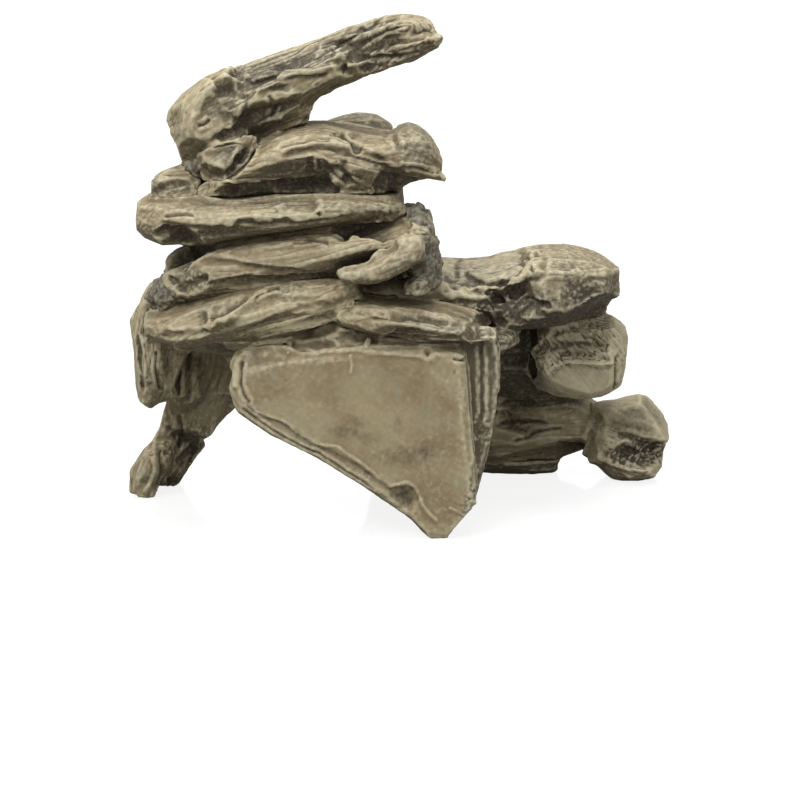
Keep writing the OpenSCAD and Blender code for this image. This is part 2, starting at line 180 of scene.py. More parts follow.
class Face(Enum):
    """A side of a stone: the two axes that are measured on it, and the way it looks."""

    FRONT = (0, 2, (0.0, -0.92, 0.39))
    TOP = (0, 1, (0.0, 0.0, 1.0))
    UNDER = (0, 2, (0.0, -0.7, -0.72))

    def seen(self, normals: np.ndarray) -> np.ndarray:
        """How far each normal looks this face's way, from 0 to 1."""
        return smoothstep(0.0, 0.45, normals @ np.array(self.value[2], np.float32))


class Cut(Enum):
    """What a stroke of the tool leaves."""

    GROOVE = "a cut with slightly raised shoulders"
    RIDGE = "a raised line"
    LIP = "a proud edge along the upper side of the line, and an undercut below it"
    # Dark paint strokes: partly real wash in grooves, and partly painted shade under lips, ledges and along
    # seams.
    WASH = "dark paint only"


class Spot(Enum):
    """What a patch does."""

    HOLLOW = "a smooth dish"
    GRIT = "broken, grainy resin that took less paint"
    # Stains are partly real pooled wash and blotches, and partly painted shade under lips, overhangs and
    # undersides.
    STAIN_AND_SHADE = "wash that was left to pool"
    # Pale patches are dry brush, and also painted light where the top light falls.
    PALE = "a dry-brushed area"
    CALM = "an area that is kept smooth"


@dataclass(frozen=True)
class Stroke:
    """One cut along a path, given in shares of the stone's box on one of its faces.

    Depth, width and reach are in millimetres. The reach is how far down the undercut of a lip runs.
    """

    cut: Cut
    path: tuple[tuple[float, float], ...]
    depth: float = 1.0
    width: float = 1.2
    reach: float = 0.0
    face: Face = Face.FRONT


@dataclass(frozen=True)
class Patch:
    """One oval area, its middle in shares of the stone's box and its half sizes in millimetres.

    The depth of a hollow is in millimetres, and that of any other spot is a strength.
    """

    spot: Spot
    middle: tuple[float, float]
    size: tuple[float, float]
    depth: float = 1.0
    turn: float = 0.0
    face: Face = Face.FRONT


@dataclass(frozen=True)
class Chop:
    """A flat facet: what stands beyond a plane is pressed back onto it.

    The plane goes through a place in shares of the stone's box, and works as far as the radius in
    millimetres.
    """

    place: tuple[float, float, float]
    facing: tuple[float, float, float]
    radius: float = 30.0


@dataclass(frozen=True)
class Lump:
    """A faceted lump of clay that is pressed onto the block before carving.

    Its middle is in shares of the stone's box, its half sizes are in millimetres, and it is turned in the
    front plane.
    """

    middle: tuple[float, float, float]
    size: tuple[float, float, float]
    turn: float = 0.0
    rounds: int = 2


@dataclass(frozen=True)
class Relief:
    """How a stone's surface is broken up. Lengths are in millimetres, and facets in square millimetres.

    The heading is the grain's rise to the right in degrees, and the bow is how far the grain arches up.
    """

    heading: float = 0.0
    bow: float = 0.0
    lumps: float = 0.8
    crests: float = 0.9
    crest_gap: float = 9.0
    strata: float = 0.35
    layer: float = 5.5
    flutes: float = 0.22
    pitch: float = 2.4
    pits: float = 0.25
    skin: float = 0.1
    rounding: int = 1
    facet: float = 9.0
    chips: int = 8
    chip_depth: float = 1.2
    chip_size: float = 9.0
    seed: int = 1

    def fibre(self) -> float:
        """How strongly brush hairs show: hardly on smooth stones, and most on deeply fluted ones."""
        return 0.15 if self.flutes < 0.1 else 0.9 if self.flutes > 0.5 else 0.55


@dataclass(frozen=True)
class Stone:
    """A node of the frame with all that is carved into it.

    A tone above 0 is paler paint, and one below 0 darker paint. Grit is the share of broken grains, and
    shade is the share of the pooled wash and painted shade, in tight joints, under overhangs and on
    undersides, that the stone takes.
    """

    node: str
    relief: Relief
    strokes: tuple[Stroke, ...] = ()
    patches: tuple[Patch, ...] = ()
    lumps: tuple[Lump, ...] = ()
    chops: tuple[Chop, ...] = ()
    tone: float = 0.0
    grit: float = 0.0
    shade: float = 0.75


class Surroundings:
    """How full of resin the space around a point is, kept on a grid over the whole ornament.

    The step and the margin are in millimetres. OFF_EDGES keeps a ray off the edges of the mesh, and starts
    it below the mesh. MOST_WALLS ends a ray that gets stuck.
    """

    STEP = 1.5
    MARGIN = 14.0
    OFF_EDGES = (0.013, 0.017, -1.0)
    MOST_WALLS = 24

    def __init__(self, nodes: dict[str, bpy.types.Object]) -> None:
        """Fills the grid with every node of the frame.

        Args:
            nodes: The frame's nodes by name.
        """
        low, high = (np.array(corner) / MM for corner in CAD_BOX)
        self.low = low - self.MARGIN
        self.shape = np.ceil((high + self.MARGIN - self.low) / self.STEP).astype(int)
        self.filled = {name: self._fill(node) for name, node in nodes.items()}
        self.total = np.minimum(sum(self.filled.values()), 1).astype(np.float32)
        self.near = self._spread(self.total, 1, 2)
        self.wide = self._spread(self.total, 4, 2)

    def _fill(self, node: bpy.types.Object) -> np.ndarray:
        """Marks the cells inside one node, by upright rays through its closed mesh.

        Args:
            node: The node's piece.

        Returns:
            A grid with 1 inside the node and 0 outside.
        """
        grid = np.zeros(self.shape, np.uint8)
        solid = bmesh.new()
        solid.from_mesh(node.data)
        bmesh.ops.remove_doubles(solid, verts=solid.verts, dist=MERGED * MM)
        tree = BVHTree.FromBMesh(solid)
        points = np.array([v.co for v in solid.verts]) / MM
        solid.free()
        first = ((points.min(0) - self.low) / self.STEP).astype(int)
        last = ((points.max(0) - self.low) / self.STEP).astype(int) + 1
        heights = self.low[2] + (np.arange(self.shape[2]) + 0.5) * self.STEP
        up = Vector((0, 0, 1))
        for i in range(first[0], last[0]):
            for j in range(first[1], last[1]):
                x, y = self.low[:2] + (np.array((i, j)) + 0.5) * self.STEP
                start = Vector(np.array((x, y, points[:, 2].min())) + self.OFF_EDGES) * MM
                walls = []
                hit = tree.ray_cast(start, up)[0]
                while hit is not None and len(walls) < self.MOST_WALLS:
                    walls.append(hit.z / MM)
                    hit = tree.ray_cast(hit + up * 0.01 * MM, up)[0]
                for bottom, top in zip(walls[::2], walls[1::2]):
                    grid[i, j, (heights > bottom) & (heights < top)] = 1
        return grid

    @staticmethod
    def _spread(grid: np.ndarray, radius: int, passes: int) -> np.ndarray:
        """Averages a grid over cubes, a few times over.

        Args:
            grid: The values.
            radius: Cells from a cube's middle to its side.
            passes: How often.

        Returns:
            The averaged grid.
        """
        for _ in range(passes):
            for axis in range(3):
                padded = np.concatenate([np.zeros_like(grid.take([0] * (radius + 1), axis)), grid,
                                         np.zeros_like(grid.take([0] * radius, axis))], axis)
                run = np.cumsum(padded, axis, dtype=np.float32)
                size = grid.shape[axis]
                ahead = run.take(range(2 * radius + 1, 2 * radius + 1 + size), axis)
                grid = (ahead - run.take(range(size), axis)) / (2 * radius + 1)
        return grid

    def sample(self, grid: np.ndarray, points: np.ndarray) -> np.ndarray:
        """Reads a grid between its cells.

        Args:
            grid: The values.
            points: Places in rows, in millimetres.

        Returns:
            One value for each row.
        """
        place = (points - self.low) / self.STEP - 0.5
        cell = np.clip(np.floor(place).astype(int), 0, self.shape - 2)
        share = np.clip(place - cell, 0, 1)
        total = np.zeros(len(points), np.float32)
        for corner in np.ndindex(2, 2, 2):
            weight = np.prod(np.where(corner, share, 1 - share), axis=1)
            total += weight * grid[tuple((cell + corner).T)]
        return total

    def touching(self, node: str, points: np.ndarray) -> np.ndarray:
        """How far other nodes fill the space right at each point, from 0 to 1."""
        others = np.clip(self.total - self.filled[node], 0, 1)
        return self.sample(self._spread(others, 1, 1), points)


class Clay:
    """A stone's mesh while it is carved. Points and normals are in millimetres."""

    def __init__(self, node: str) -> None:
        """Copies the node's mesh, merged into one closed skin.

        Args:
            node: The node's name.
        """
        solid = bmesh.new()
        solid.from_mesh(frame["nodes"][node].data)
        bmesh.ops.remove_doubles(solid, verts=solid.verts, dist=MERGED * MM)
        mesh = bpy.data.meshes.new(node + "_carved")
        solid.to_mesh(mesh)
        solid.free()
        self.piece = bpy.data.objects.new(node + "_carved", mesh)
        bpy.context.scene.collection.objects.link(self.piece)
        self.low, self.high = (np.array(corner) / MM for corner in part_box(node))
        self._read()

    def add(self, lump: Lump, seed: int) -> None:
        """Presses one lump on.

        Args:
            lump: Where and how large.
            seed: The same seed gives the same facets.
        """
        middle = self.low + np.array(lump.middle) * (self.high - self.low)
        solid = bmesh.new()
        solid.from_mesh(self.piece.data)
        made = bmesh.ops.create_icosphere(solid, subdivisions=lump.rounds, radius=1.0)["verts"]
        draw = np.random.default_rng(seed)
        for vertex in made:
            vertex.co *= draw.uniform(0.86, 1.1)
        place = Matrix.Translation(Vector(middle) * MM) @ Matrix.Rotation(-math.radians(lump.turn), 4, "Y")
        stretch = Matrix.Diagonal((*(np.array(lump.size) * MM), 1.0))
        bmesh.ops.transform(solid, matrix=place @ stretch, verts=made)
        solid.to_mesh(self.piece.data)
        solid.free()

    def _read(self) -> None:
        """Reads points, edges and normals from the mesh."""
        mesh = self.piece.data
        flat = np.empty(len(mesh.vertices) * 3, np.float32)
        mesh.vertices.foreach_get("co", flat)
        self.points = flat.reshape(-1, 3) / np.float32(MM)
        ends = np.empty(len(mesh.edges) * 2, np.int32)
        mesh.edges.foreach_get("vertices", ends)
        self.ends = ends.reshape(-1, 2)
        self.degree = np.maximum(np.bincount(ends, minlength=len(self.points)), 1).astype(np.float32)
        self._turn()

    def _turn(self) -> None:
        """Reads the normals again."""
        flat = np.empty(len(self.points) * 3, np.float32)
        self.piece.data.vertex_normals.foreach_get("vector", flat)
        self.normals = flat.reshape(-1, 3)

    def update(self) -> None:
        """Writes the points back, none of them under the floor."""
        self.points[:, 2] = np.maximum(self.points[:, 2], 0)
        self.piece.data.vertices.foreach_set("co", (self.points * MM).astype(np.float32).ravel())
        self.piece.data.update()
        self._turn()

    def remesh(self, voxel: float) -> None:
        """Gives the piece an even skin of small faces of about one voxel.

        Args:
            voxel: The width of a face.
        """
        grid = self.piece.modifiers.new("even_skin", "REMESH")
        grid.mode = "VOXEL"
        grid.voxel_size = voxel * MM
        grid.use_smooth_shade = True
        self._apply()

    def facet(self, area: float) -> None:
        """Flattens the piece into facets of about this many square millimetres, smaller where it bends.

        Args:
            area: The mean area of a facet.
        """
        self.piece.data.calc_loop_triangles()
        total = sum(face.area for face in self.piece.data.polygons) / MM ** 2
        thin = self.piece.modifiers.new("facets", "DECIMATE")
        thin.ratio = min(1.0, total / area / len(self.piece.data.loop_triangles))
        thin.use_collapse_triangulate = True
        self._apply()

    def drop_crumbs(self) -> None:
        """Keeps the largest connected part, and deletes specks that hang loose beside it."""
        first, second = self.ends.T
        part = np.arange(len(self.points))
        settled = False
        while not settled:
            before = part.copy()
            low = np.minimum(part[first], part[second])
            np.minimum.at(part, first, low)
            np.minimum.at(part, second, low)
            part = part[part]
            settled = np.array_equal(part, before)
        loose = part != np.bincount(part).argmax()
        if loose.any():
            solid = bmesh.new()
            solid.from_mesh(self.piece.data)
            solid.verts.ensure_lookup_table()
            bmesh.ops.delete(solid, geom=[solid.verts[i] for i in np.nonzero(loose)[0]], context="VERTS")
            solid.to_mesh(self.piece.data)
            solid.free()
            self._read()

    def _apply(self) -> None:
        """Makes the modifier's result the mesh itself."""
        graph = bpy.context.evaluated_depsgraph_get()
        mesh = bpy.data.meshes.new_from_object(self.piece.evaluated_get(graph))
        self.piece.modifiers.clear()
        old = self.piece.data
        self.piece.data = mesh
        bpy.data.meshes.remove(old)
        mesh.name = self.piece.name
        self._read()

    def average(self, values: np.ndarray) -> np.ndarray:
        """The mean of each vertex's neighbours, for values in columns.

        Args:
            values: One row for each vertex.

        Returns:
            The means, in the same order.
        """
        first, second = self.ends.T
        mixed = np.empty_like(values)
        for column in range(values.shape[1]):
            part = values[:, column]
            total = np.bincount(first, part[second], len(values))
            total += np.bincount(second, part[first], len(values))
            mixed[:, column] = total / self.degree
        return mixed

    def relax(self, passes: int, amount: float = 0.6) -> None:
        """Rounds the piece off.

        Args:
            passes: How often.
            amount: The share of the way to the neighbours' mean.
        """
        for _ in range(passes):
            self.points += amount * (self.average(self.points) - self.points)
        self.update()

    def swell(self, heights: np.ndarray) -> None:
        """Moves each point out along its normal."""
        self.points += self.normals * heights[:, None].astype(np.float32)
        self.update()

    def hollows(self, passes: tuple[int, ...]) -> list[np.ndarray]:
        """How far each point lies under its smoothed surroundings, for rising numbers of passes.

        Args:
            passes: How far to smooth, from the least to the most.

        Returns:
            The depths for each number of passes.
        """
        found, smooth, done = [], self.points, 0
        for target in passes:
            for _ in range(target - done):
                smooth = self.average(smooth)
            done = target
            found.append(np.einsum("ij,ij->i", smooth - self.points, self.normals))
        return found

    def store(self, name: str, values: np.ndarray) -> None:
        """Keeps a value per point, from 0 to 1, for the paint."""
        layer = self.piece.data.attributes.new(name, "FLOAT", "POINT")
        layer.data.foreach_set("value", np.clip(values, 0, 1).astype(np.float32))


class Carver:
    """Carves one stone: broad forms first, then what is fine.

    A chip stretches along the grain, and tilts at random. SEAM_FILL, WARP and SWAY are in millimetres: how
    far the clay swells along a seam, and how far the grain and the strokes wander. HELD is how much of the
    carving a bedded surface is spared. TAPER is the share of a stroke over which each end fades. Strokes
    that are WIDE or wider are cut in the rough clay. ALL_GRAINS is the grit from which a piece is rubble.
    """

    CHIP_STRETCH = 1.6
    CHIP_TILT = 0.3
    SEAM_FILL = 1.3
    HELD = 0.75
    WARP = 2.2
    SWAY = 0.45
    TAPER = 0.1
    WIDE = 1.5 * ROUGH_VOXEL
    ALL_GRAINS = 0.9
    HOLLOW_PASSES = (2, 8, 26)
    # How quickly the wash and the painted shade build up to their full darkness.
    WASH_AND_SHADE_GAIN = 1.15

    def __init__(self, stone: Stone, around: Surroundings) -> None:
        """Takes the stone's plain block in hand.

        Args:
            stone: What is to be carved.
            around: The resin round the stone.
        """
        self.stone = stone
        self.around = around
        self.clay = Clay(stone.node)
        self.noise = Noise(stone.relief.seed)

    def carve(self) -> Clay:
        """Runs both stages.

        Returns:
            The carved clay, with what the paint needs stored on it.
        """
        for number, lump in enumerate(self.stone.lumps):
            self.clay.add(lump, number)
        self.clay.remesh(ROUGH_VOXEL)
        self.clay.relax(self.stone.relief.rounding)
        self._chop()
        self._chip()
        self.clay.swell(self._broad() * self._free() + self.SEAM_FILL * self._seam())
        self.clay.facet(self.stone.relief.facet)
        self.clay.remesh(FINE_VOXEL)
        self.clay.drop_crumbs()
        self.clay.relax(1, 0.3)
        fine = self._fine()
        self.clay.swell(fine if self.stone.grit > self.ALL_GRAINS else fine * self._free())
        self._store()
        return self.clay

    def _free(self) -> np.ndarray:
        """1 where the surface is open, and less where another piece lies against it."""
        ahead = self.clay.points + self.clay.normals * 1.0
        return 1 - self.HELD * smoothstep(0.25, 0.7, self.around.touching(self.stone.node, ahead))

    def _seam(self) -> np.ndarray:
        """1 along the seams, where another piece lies close by but not against the surface.

        Returns:
            One value for each point.
        """
        ahead = self.clay.points + self.clay.normals * 1.5
        touch = self.around.touching(self.stone.node, ahead)
        return smoothstep(0.03, 0.25, touch) * smoothstep(0.75, 0.45, touch)

    def _press(self, place: np.ndarray, facing: np.ndarray, radii: np.ndarray) -> None:
        """Presses the clay round a place back to a plane.

        Args:
            place: The middle of the facet.
            facing: The way the facet looks.
            radii: How far it reaches along each axis.
        """
        clay = self.clay
        facing = facing / np.linalg.norm(facing)
        away = clay.points - place
        far = np.linalg.norm(away / radii, axis=1) + 0.25 * self.noise.wave(clay.points / 5 + 3)
        proud = np.clip(away @ facing, 0, None) * smoothstep(1.1, 0.85, far)
        proud *= clay.normals @ facing > 0
        clay.points -= (proud[:, None] * facing).astype(np.float32)

    def _chop(self) -> None:
        """Makes the facets that the stone is given."""
        size = self.clay.high - self.clay.low
        for chop in self.stone.chops:
            place = self.clay.low + np.array(chop.place) * size
            self._press(place, np.array(chop.facing), np.full(3, chop.radius))
        self.clay.update()

    def _chip(self) -> None:
        """Knocks seeded flat chips off the stone's open edges."""
        relief = self.stone.relief
        draw = np.random.default_rng(relief.seed)
        turn = math.radians(relief.heading)
        stretch = 1 + self.CHIP_STRETCH * np.abs(np.array((math.cos(turn), 0, math.sin(turn))))
        bulge = -self.clay.hollows((6,))[0] * self._free()
        edges = np.nonzero(bulge > np.quantile(bulge, 0.6))[0]
        for place in draw.choice(edges, relief.chips):
            facing = self.clay.normals[place] + draw.normal(size=3) * self.CHIP_TILT
            depth = relief.chip_depth * draw.uniform(0.5, 1.4)
            radii = relief.chip_size * draw.uniform(0.6, 1.4) * stretch
            self._press(self.clay.points[place] - self.clay.normals[place] * depth, facing, radii)
        self.clay.update()

    def _grain(self) -> np.ndarray:
        """The points measured along, across and up the grain, a little warped.

        Returns:
            One row for each point.
        """
        relief = self.stone.relief
        middle = ((self.clay.low + self.clay.high) / 2).astype(np.float32)
        reach = float(np.max(self.clay.high - self.clay.low)) / 2
        turn = math.radians(relief.heading)
        ahead = np.array((math.cos(turn), 0, math.sin(turn)), np.float32)
        above = np.array((-math.sin(turn), 0, math.cos(turn)), np.float32)
        place = self.clay.points - middle
        along, up = place @ ahead, place @ above
        up = up - relief.bow * (1 - (along / reach) ** 2)
        grain = np.stack([along, place[:, 1], up], axis=1)
        warp = [self.noise.wave(grain / 17 + shift) for shift in (0.0, 7.3, 15.1)]
        return grain + self.WARP * np.stack(warp, axis=1) * np.array((1, 0.8, 1), np.float32)

    def _line(self, grain: np.ndarray, pitch: float, stretch: float, sharp: float) -> np.ndarray:
        """1 on wandering lines that run along the grain, and 0 between them."""
        field = self.noise.wave(grain / np.array((pitch * stretch, pitch, pitch), np.float32))
        return np.exp(-(field / sharp) ** 2)

    def _broad(self) -> np.ndarray:
        """Lumps, strata, hollows and the wide cuts.

        Returns:
            The height to add at each point.
        """
        relief = self.stone.relief
        grain = self._grain()
        heights = relief.lumps * self.noise.layered(grain / np.array((34, 17, 14), np.float32))
        heights += relief.crests * self._crests(grain)
        heights += relief.strata * self._strata(grain)
        heights += self._strokes(wide=True)
        return heights - self._patches(Spot.HOLLOW)

    def _crests(self, grain: np.ndarray) -> np.ndarray:
        """Sharp crests along the grain with smooth troughs between them.

        Args:
            grain: The points as _grain gives them.

        Returns:
            A height for each point, before its strength.
        """
        gap = self.stone.relief.crest_gap
        size = np.array((gap * 5, gap * 1.4, gap), np.float32)
        first = np.abs(self.noise.wave(grain / size + 11.7))
        second = np.abs(self.noise.wave(grain / (size * 0.48) + 29.3))
        return 0.5 - 1.5 * first - 0.3 * second

    def _strata(self, grain: np.ndarray) -> np.ndarray:
        """Layers whose lower edge stands proud, which come and go along the grain.

        Args:
            grain: The points as _grain gives them.

        Returns:
            A height for each point, before its strength.
        """
        relief = self.stone.relief
        level = grain[:, 2] / relief.layer + 0.5 * self.noise.wave(grain / 31 + 3.1)
        share = level - np.floor(level)
        step = (1 - share) ** 1.6 * smoothstep(0.0, 0.12, share) - 0.35
        strength = smoothstep(-0.25, 0.35, self.noise.wave(grain / np.array((26, 20, 9)) + 41))
        return step * strength

    def _fine(self) -> np.ndarray:
        """Grain lines, pits, skin and the narrow cuts.

        Returns:
            The height to add at each point.
        """
        relief = self.stone.relief
        grain = self._grain()
        rough = self._patches(Spot.GRIT) + self.stone.grit
        calm = np.clip(1 - self._patches(Spot.CALM), 0, 1)
        strength = 0.35 + 0.65 * smoothstep(-0.3, 0.4, self.noise.wave(grain / 19 + 55))
        lines = self._line(grain, relief.pitch, 16, 0.16)
        heights = -relief.flutes * calm * strength * lines
        pit = smoothstep(0.52, 0.7, self.noise.wave(grain / 2.3 + 71))
        where = smoothstep(0.0, 0.4, self.noise.wave(grain / 14 + 23))
        heights -= relief.pits * pit * where * calm
        heights += relief.skin * self.noise.layered(grain / 2.6 + 5) * (0.4 + 0.6 * calm)
        heights += self._strokes(wide=False)
        busy = rough > 0.02
        if busy.any():
            heights[busy] += rough[busy] * self._crumbs(self.clay.points[busy])
        self.rough = rough
        return heights

    def _crumbs(self, points: np.ndarray) -> np.ndarray:
        """Packed grains of broken resin, in two sizes.

        Args:
            points: Places in rows.

        Returns:
            The height to add at each place.
        """
        bent = points + 0.7 * self.noise.wave(points / 1.9 + 31)[:, None]
        coarse = self.noise.grains(bent / 2.1)
        small = self.noise.grains(bent / 0.95 + 9)
        drift = self.noise.layered(points / 5.0 + 2)
        return 1.3 * (0.45 - coarse) + 0.5 * (0.5 - small) + 1.3 * drift

    def _strokes(self, wide: bool) -> np.ndarray:
        """All cuts that are wide enough for the rough stage, or all the others.

        Args:
            wide: Which of the two.

        Returns:
            The height to add at each point.
        """
        heights = np.zeros(len(self.clay.points), np.float32)
        for stroke in self.stone.strokes:
            if stroke.cut is not Cut.WASH and (stroke.width >= self.WIDE) == wide:
                self._cut(stroke, heights)
        return heights

    def _stains_and_shade(self) -> np.ndarray:
        """The strength of the wash and the painted shade that are laid on in strokes and patches.

        Returns:
            One value for each point.
        """
        strength = self._patches(Spot.STAIN_AND_SHADE)
        for stroke in self.stone.strokes:
            if stroke.cut is Cut.WASH:
                self._cut(stroke, strength)
        return strength

    def _on_face(self, face: Face) -> tuple[np.ndarray, np.ndarray, np.ndarray]:
        """The points that look a face's way, flattened on it, and how far they look that way.

        Args:
            face: A side of the stone.

        Returns:
            The points' numbers, their places on the face and their shares.
        """
        seen = face.seen(self.clay.normals)
        chosen = np.nonzero(seen > 0.01)[0]
        flat = self.clay.points[chosen][:, face.value[:2]]
        sway = [self.noise.wave(self.clay.points[chosen] / 4.5 + shift) for shift in (1.3, 27.9)]
        return chosen, flat + self.SWAY * np.stack(sway, axis=1), seen[chosen]

    def _place(self, share: tuple[float, float], face: Face) -> np.ndarray:
        """A place on a face, from shares of the stone's box."""
        axes = list(face.value[:2])
        return self.clay.low[axes] + np.array(share) * (self.clay.high - self.clay.low)[axes]

    def _cut(self, stroke: Stroke, heights: np.ndarray) -> None:
        """Adds one stroke to the heights.

        Args:
            stroke: The cut.
            heights: One value for each point, which is changed in place.
        """
        chosen, flat, seen = self._on_face(stroke.face)
        path = curve_through([self._place(share, stroke.face) for share in stroke.path])
        away, side, along = distance_to(path, flat)
        taper = smoothstep(0.0, self.TAPER, along) * smoothstep(1.0, 1.0 - self.TAPER, along)
        width, depth = stroke.width, min(stroke.depth, 0.9 * stroke.width)
        if stroke.cut is Cut.WASH:
            shape = depth * smoothstep(width, 0.3 * width, away)
        elif stroke.cut is Cut.RIDGE:
            shape = depth * np.exp(-(away / (0.55 * width)) ** 2)
        elif stroke.cut is Cut.GROOVE:
            shape = -depth * np.exp(-(away / (0.5 * width)) ** 2)
            shape += 0.3 * depth * np.exp(-((away - 1.1 * width) / (0.6 * width)) ** 2)
        else:
            over = 0.45 * depth * np.exp(-away / (1.6 * width))
            under = -depth * np.exp(-away / (stroke.reach or 1.4 * width))
            shape = under + (over - under) * smoothstep(-0.4, 0.4, side * away)
        heights[chosen] += shape * taper * seen

    def _patches(self, spot: Spot) -> np.ndarray:
        """The sum of all patches of a kind: millimetres for hollows, and a strength for the others.

        Args:
            spot: The kind of patch.

        Returns:
            One value for each point.
        """
        total = np.zeros(len(self.clay.points), np.float32)
        for patch in self.stone.patches:
            if patch.spot is not spot:
                continue
            chosen, flat, seen = self._on_face(patch.face)
            away = flat - self._place(patch.middle, patch.face)
            turn = math.radians(patch.turn)
            spin = np.array(((math.cos(turn), -math.sin(turn)), (math.sin(turn), math.cos(turn))))
            radius = np.linalg.norm(away @ spin / np.array(patch.size), axis=1)
            if spot is Spot.HOLLOW:
                total[chosen] += patch.depth * np.clip(1 - radius ** 2, 0, 1) ** 1.2 * seen
            else:
                points = self.clay.points[chosen]
                edge = radius + 0.3 * self.noise.wave(points / 6 + 61)
                edge += 0.5 * self.noise.wave(points / 2 + 17)
                total[chosen] += patch.depth * smoothstep(1.25, 0.35, edge) * seen
        return total

    def _store(self) -> None:
        """Works out where the wash gathers and where a dry brush catches, and where shade and light are
        painted.
        """
        clay = self.clay
        fine, middle, broad = clay.hollows(self.HOLLOW_PASSES)
        lift = clay.normals
        tight = smoothstep(0.45, 0.85, self.around.sample(self.around.near, clay.points + lift * 1.5))
        covered = smoothstep(0.40, 0.70, self.around.sample(self.around.wide, clay.points + lift * 4))
        below = smoothstep(0.0, -0.6, lift[:, 2])
        # The wash in the recesses: partly the real wash in crevices, and partly painted shade in the deeper
        # hollows.
        recess = np.clip(3.0 * fine + 0.9 * middle + 0.2 * broad - 0.05, 0, None)
        # Painted shade: darker in tight joints, under overhangs and on undersides.
        pooled_wash_and_shade = 0.9 * tight + 0.5 * covered + 0.75 * below
        # Dry brush on raised edges, and painted light: paler on tops, fainter under overhangs and on
        # undersides.
        edge = -7.0 * fine - 2.2 * middle - 0.4 * broad + 0.2 * lift[:, 2] - 1.2 * covered - below
        wash = recess + self.stone.shade * pooled_wash_and_shade + self._stains_and_shade()
        # The wash is stored together with the painted shade.
        clay.store("wash", 1 - np.exp(-self.WASH_AND_SHADE_GAIN * wash))
        clay.store("edge", edge + self._patches(Spot.PALE))
        clay.store("grit", self.rough)
        clay.store("tone", np.full(len(clay.points), 0.5 + self.stone.tone))


def curve_through(points: list[np.ndarray], pieces: int = 5) -> np.ndarray:
    """Runs a smooth curve through points.

    Args:
        points: Two or more places on a face, in millimetres.
        pieces: Straight pieces between two points.

    Returns:
        The curve's corners in rows.
    """
    ends = [2 * points[0] - points[1]] + list(points) + [2 * points[-1] - points[-2]]
    corners = []
    for before, start, stop, after in zip(ends, ends[1:], ends[2:], ends[3:]):
        for step in range(pieces):
            t = step / pieces
            corners.append(0.5 * (2 * start + (stop - before) * t
                                  + (2 * before - 5 * start + 4 * stop - after) * t ** 2
                                  + (3 * start - before - 3 * stop + after) * t ** 3))
    return np.array(corners + [points[-1]])


def distance_to(path: np.ndarray, places: np.ndarray) -> tuple[np.ndarray, np.ndarray, np.ndarray]:
    """Measures places from a curve.

    Args:
        path: The curve's corners in rows.
        places: Places on the same face.

    Returns:
        The distance, the side (1 is the left side, as one follows the curve) and the share of the way along.
    """
    away = np.full(len(places), 1e6)
    side = np.ones(len(places))
    along = np.zeros(len(places))
    lengths = np.linalg.norm(np.diff(path, axis=0), axis=1)
    passed = np.concatenate([[0], np.cumsum(lengths)])
    for start, stop, length, before in zip(path, path[1:], lengths, passed):
        way = (stop - start) / length
        offset = places - start
        ahead = np.clip(offset @ way, 0, length)
        gap = offset - ahead[:, None] * way
        distance = np.linalg.norm(gap, axis=1)
        closer = distance < away
        away = np.where(closer, distance, away)
        side = np.where(closer, np.sign(way[0] * offset[:, 1] - way[1] * offset[:, 0]), side)
        along = np.where(closer, (before + ahead) / passed[-1], along)
    return away, side, along


def add_node(tree: bpy.types.NodeTree, kind: str, inputs: dict | None = None,
             **settings: str | float | bool) -> bpy.types.Node:
    """Adds a node to a tree.

    Args:
        tree: The material's or the world's node tree.
        kind: The node's type name.
        inputs: For each input, by name or number, a value or the output that links to it.
        **settings: Properties of the node itself.

    Returns:
        The new node.
    """
    made = tree.nodes.new(kind)
    for name, value in settings.items():
        setattr(made, name, value)
    for key, value in (inputs or {}).items():
        if isinstance(value, bpy.types.NodeSocket):
            tree.links.new(value, made.inputs[key])
        else:
            made.inputs[key].default_value = value
    return made


def per_metre(size: float) -> float:
    """The noise scale on Object coordinates at which a pattern repeats every so many millimetres."""
    return 1 / (size * MM)


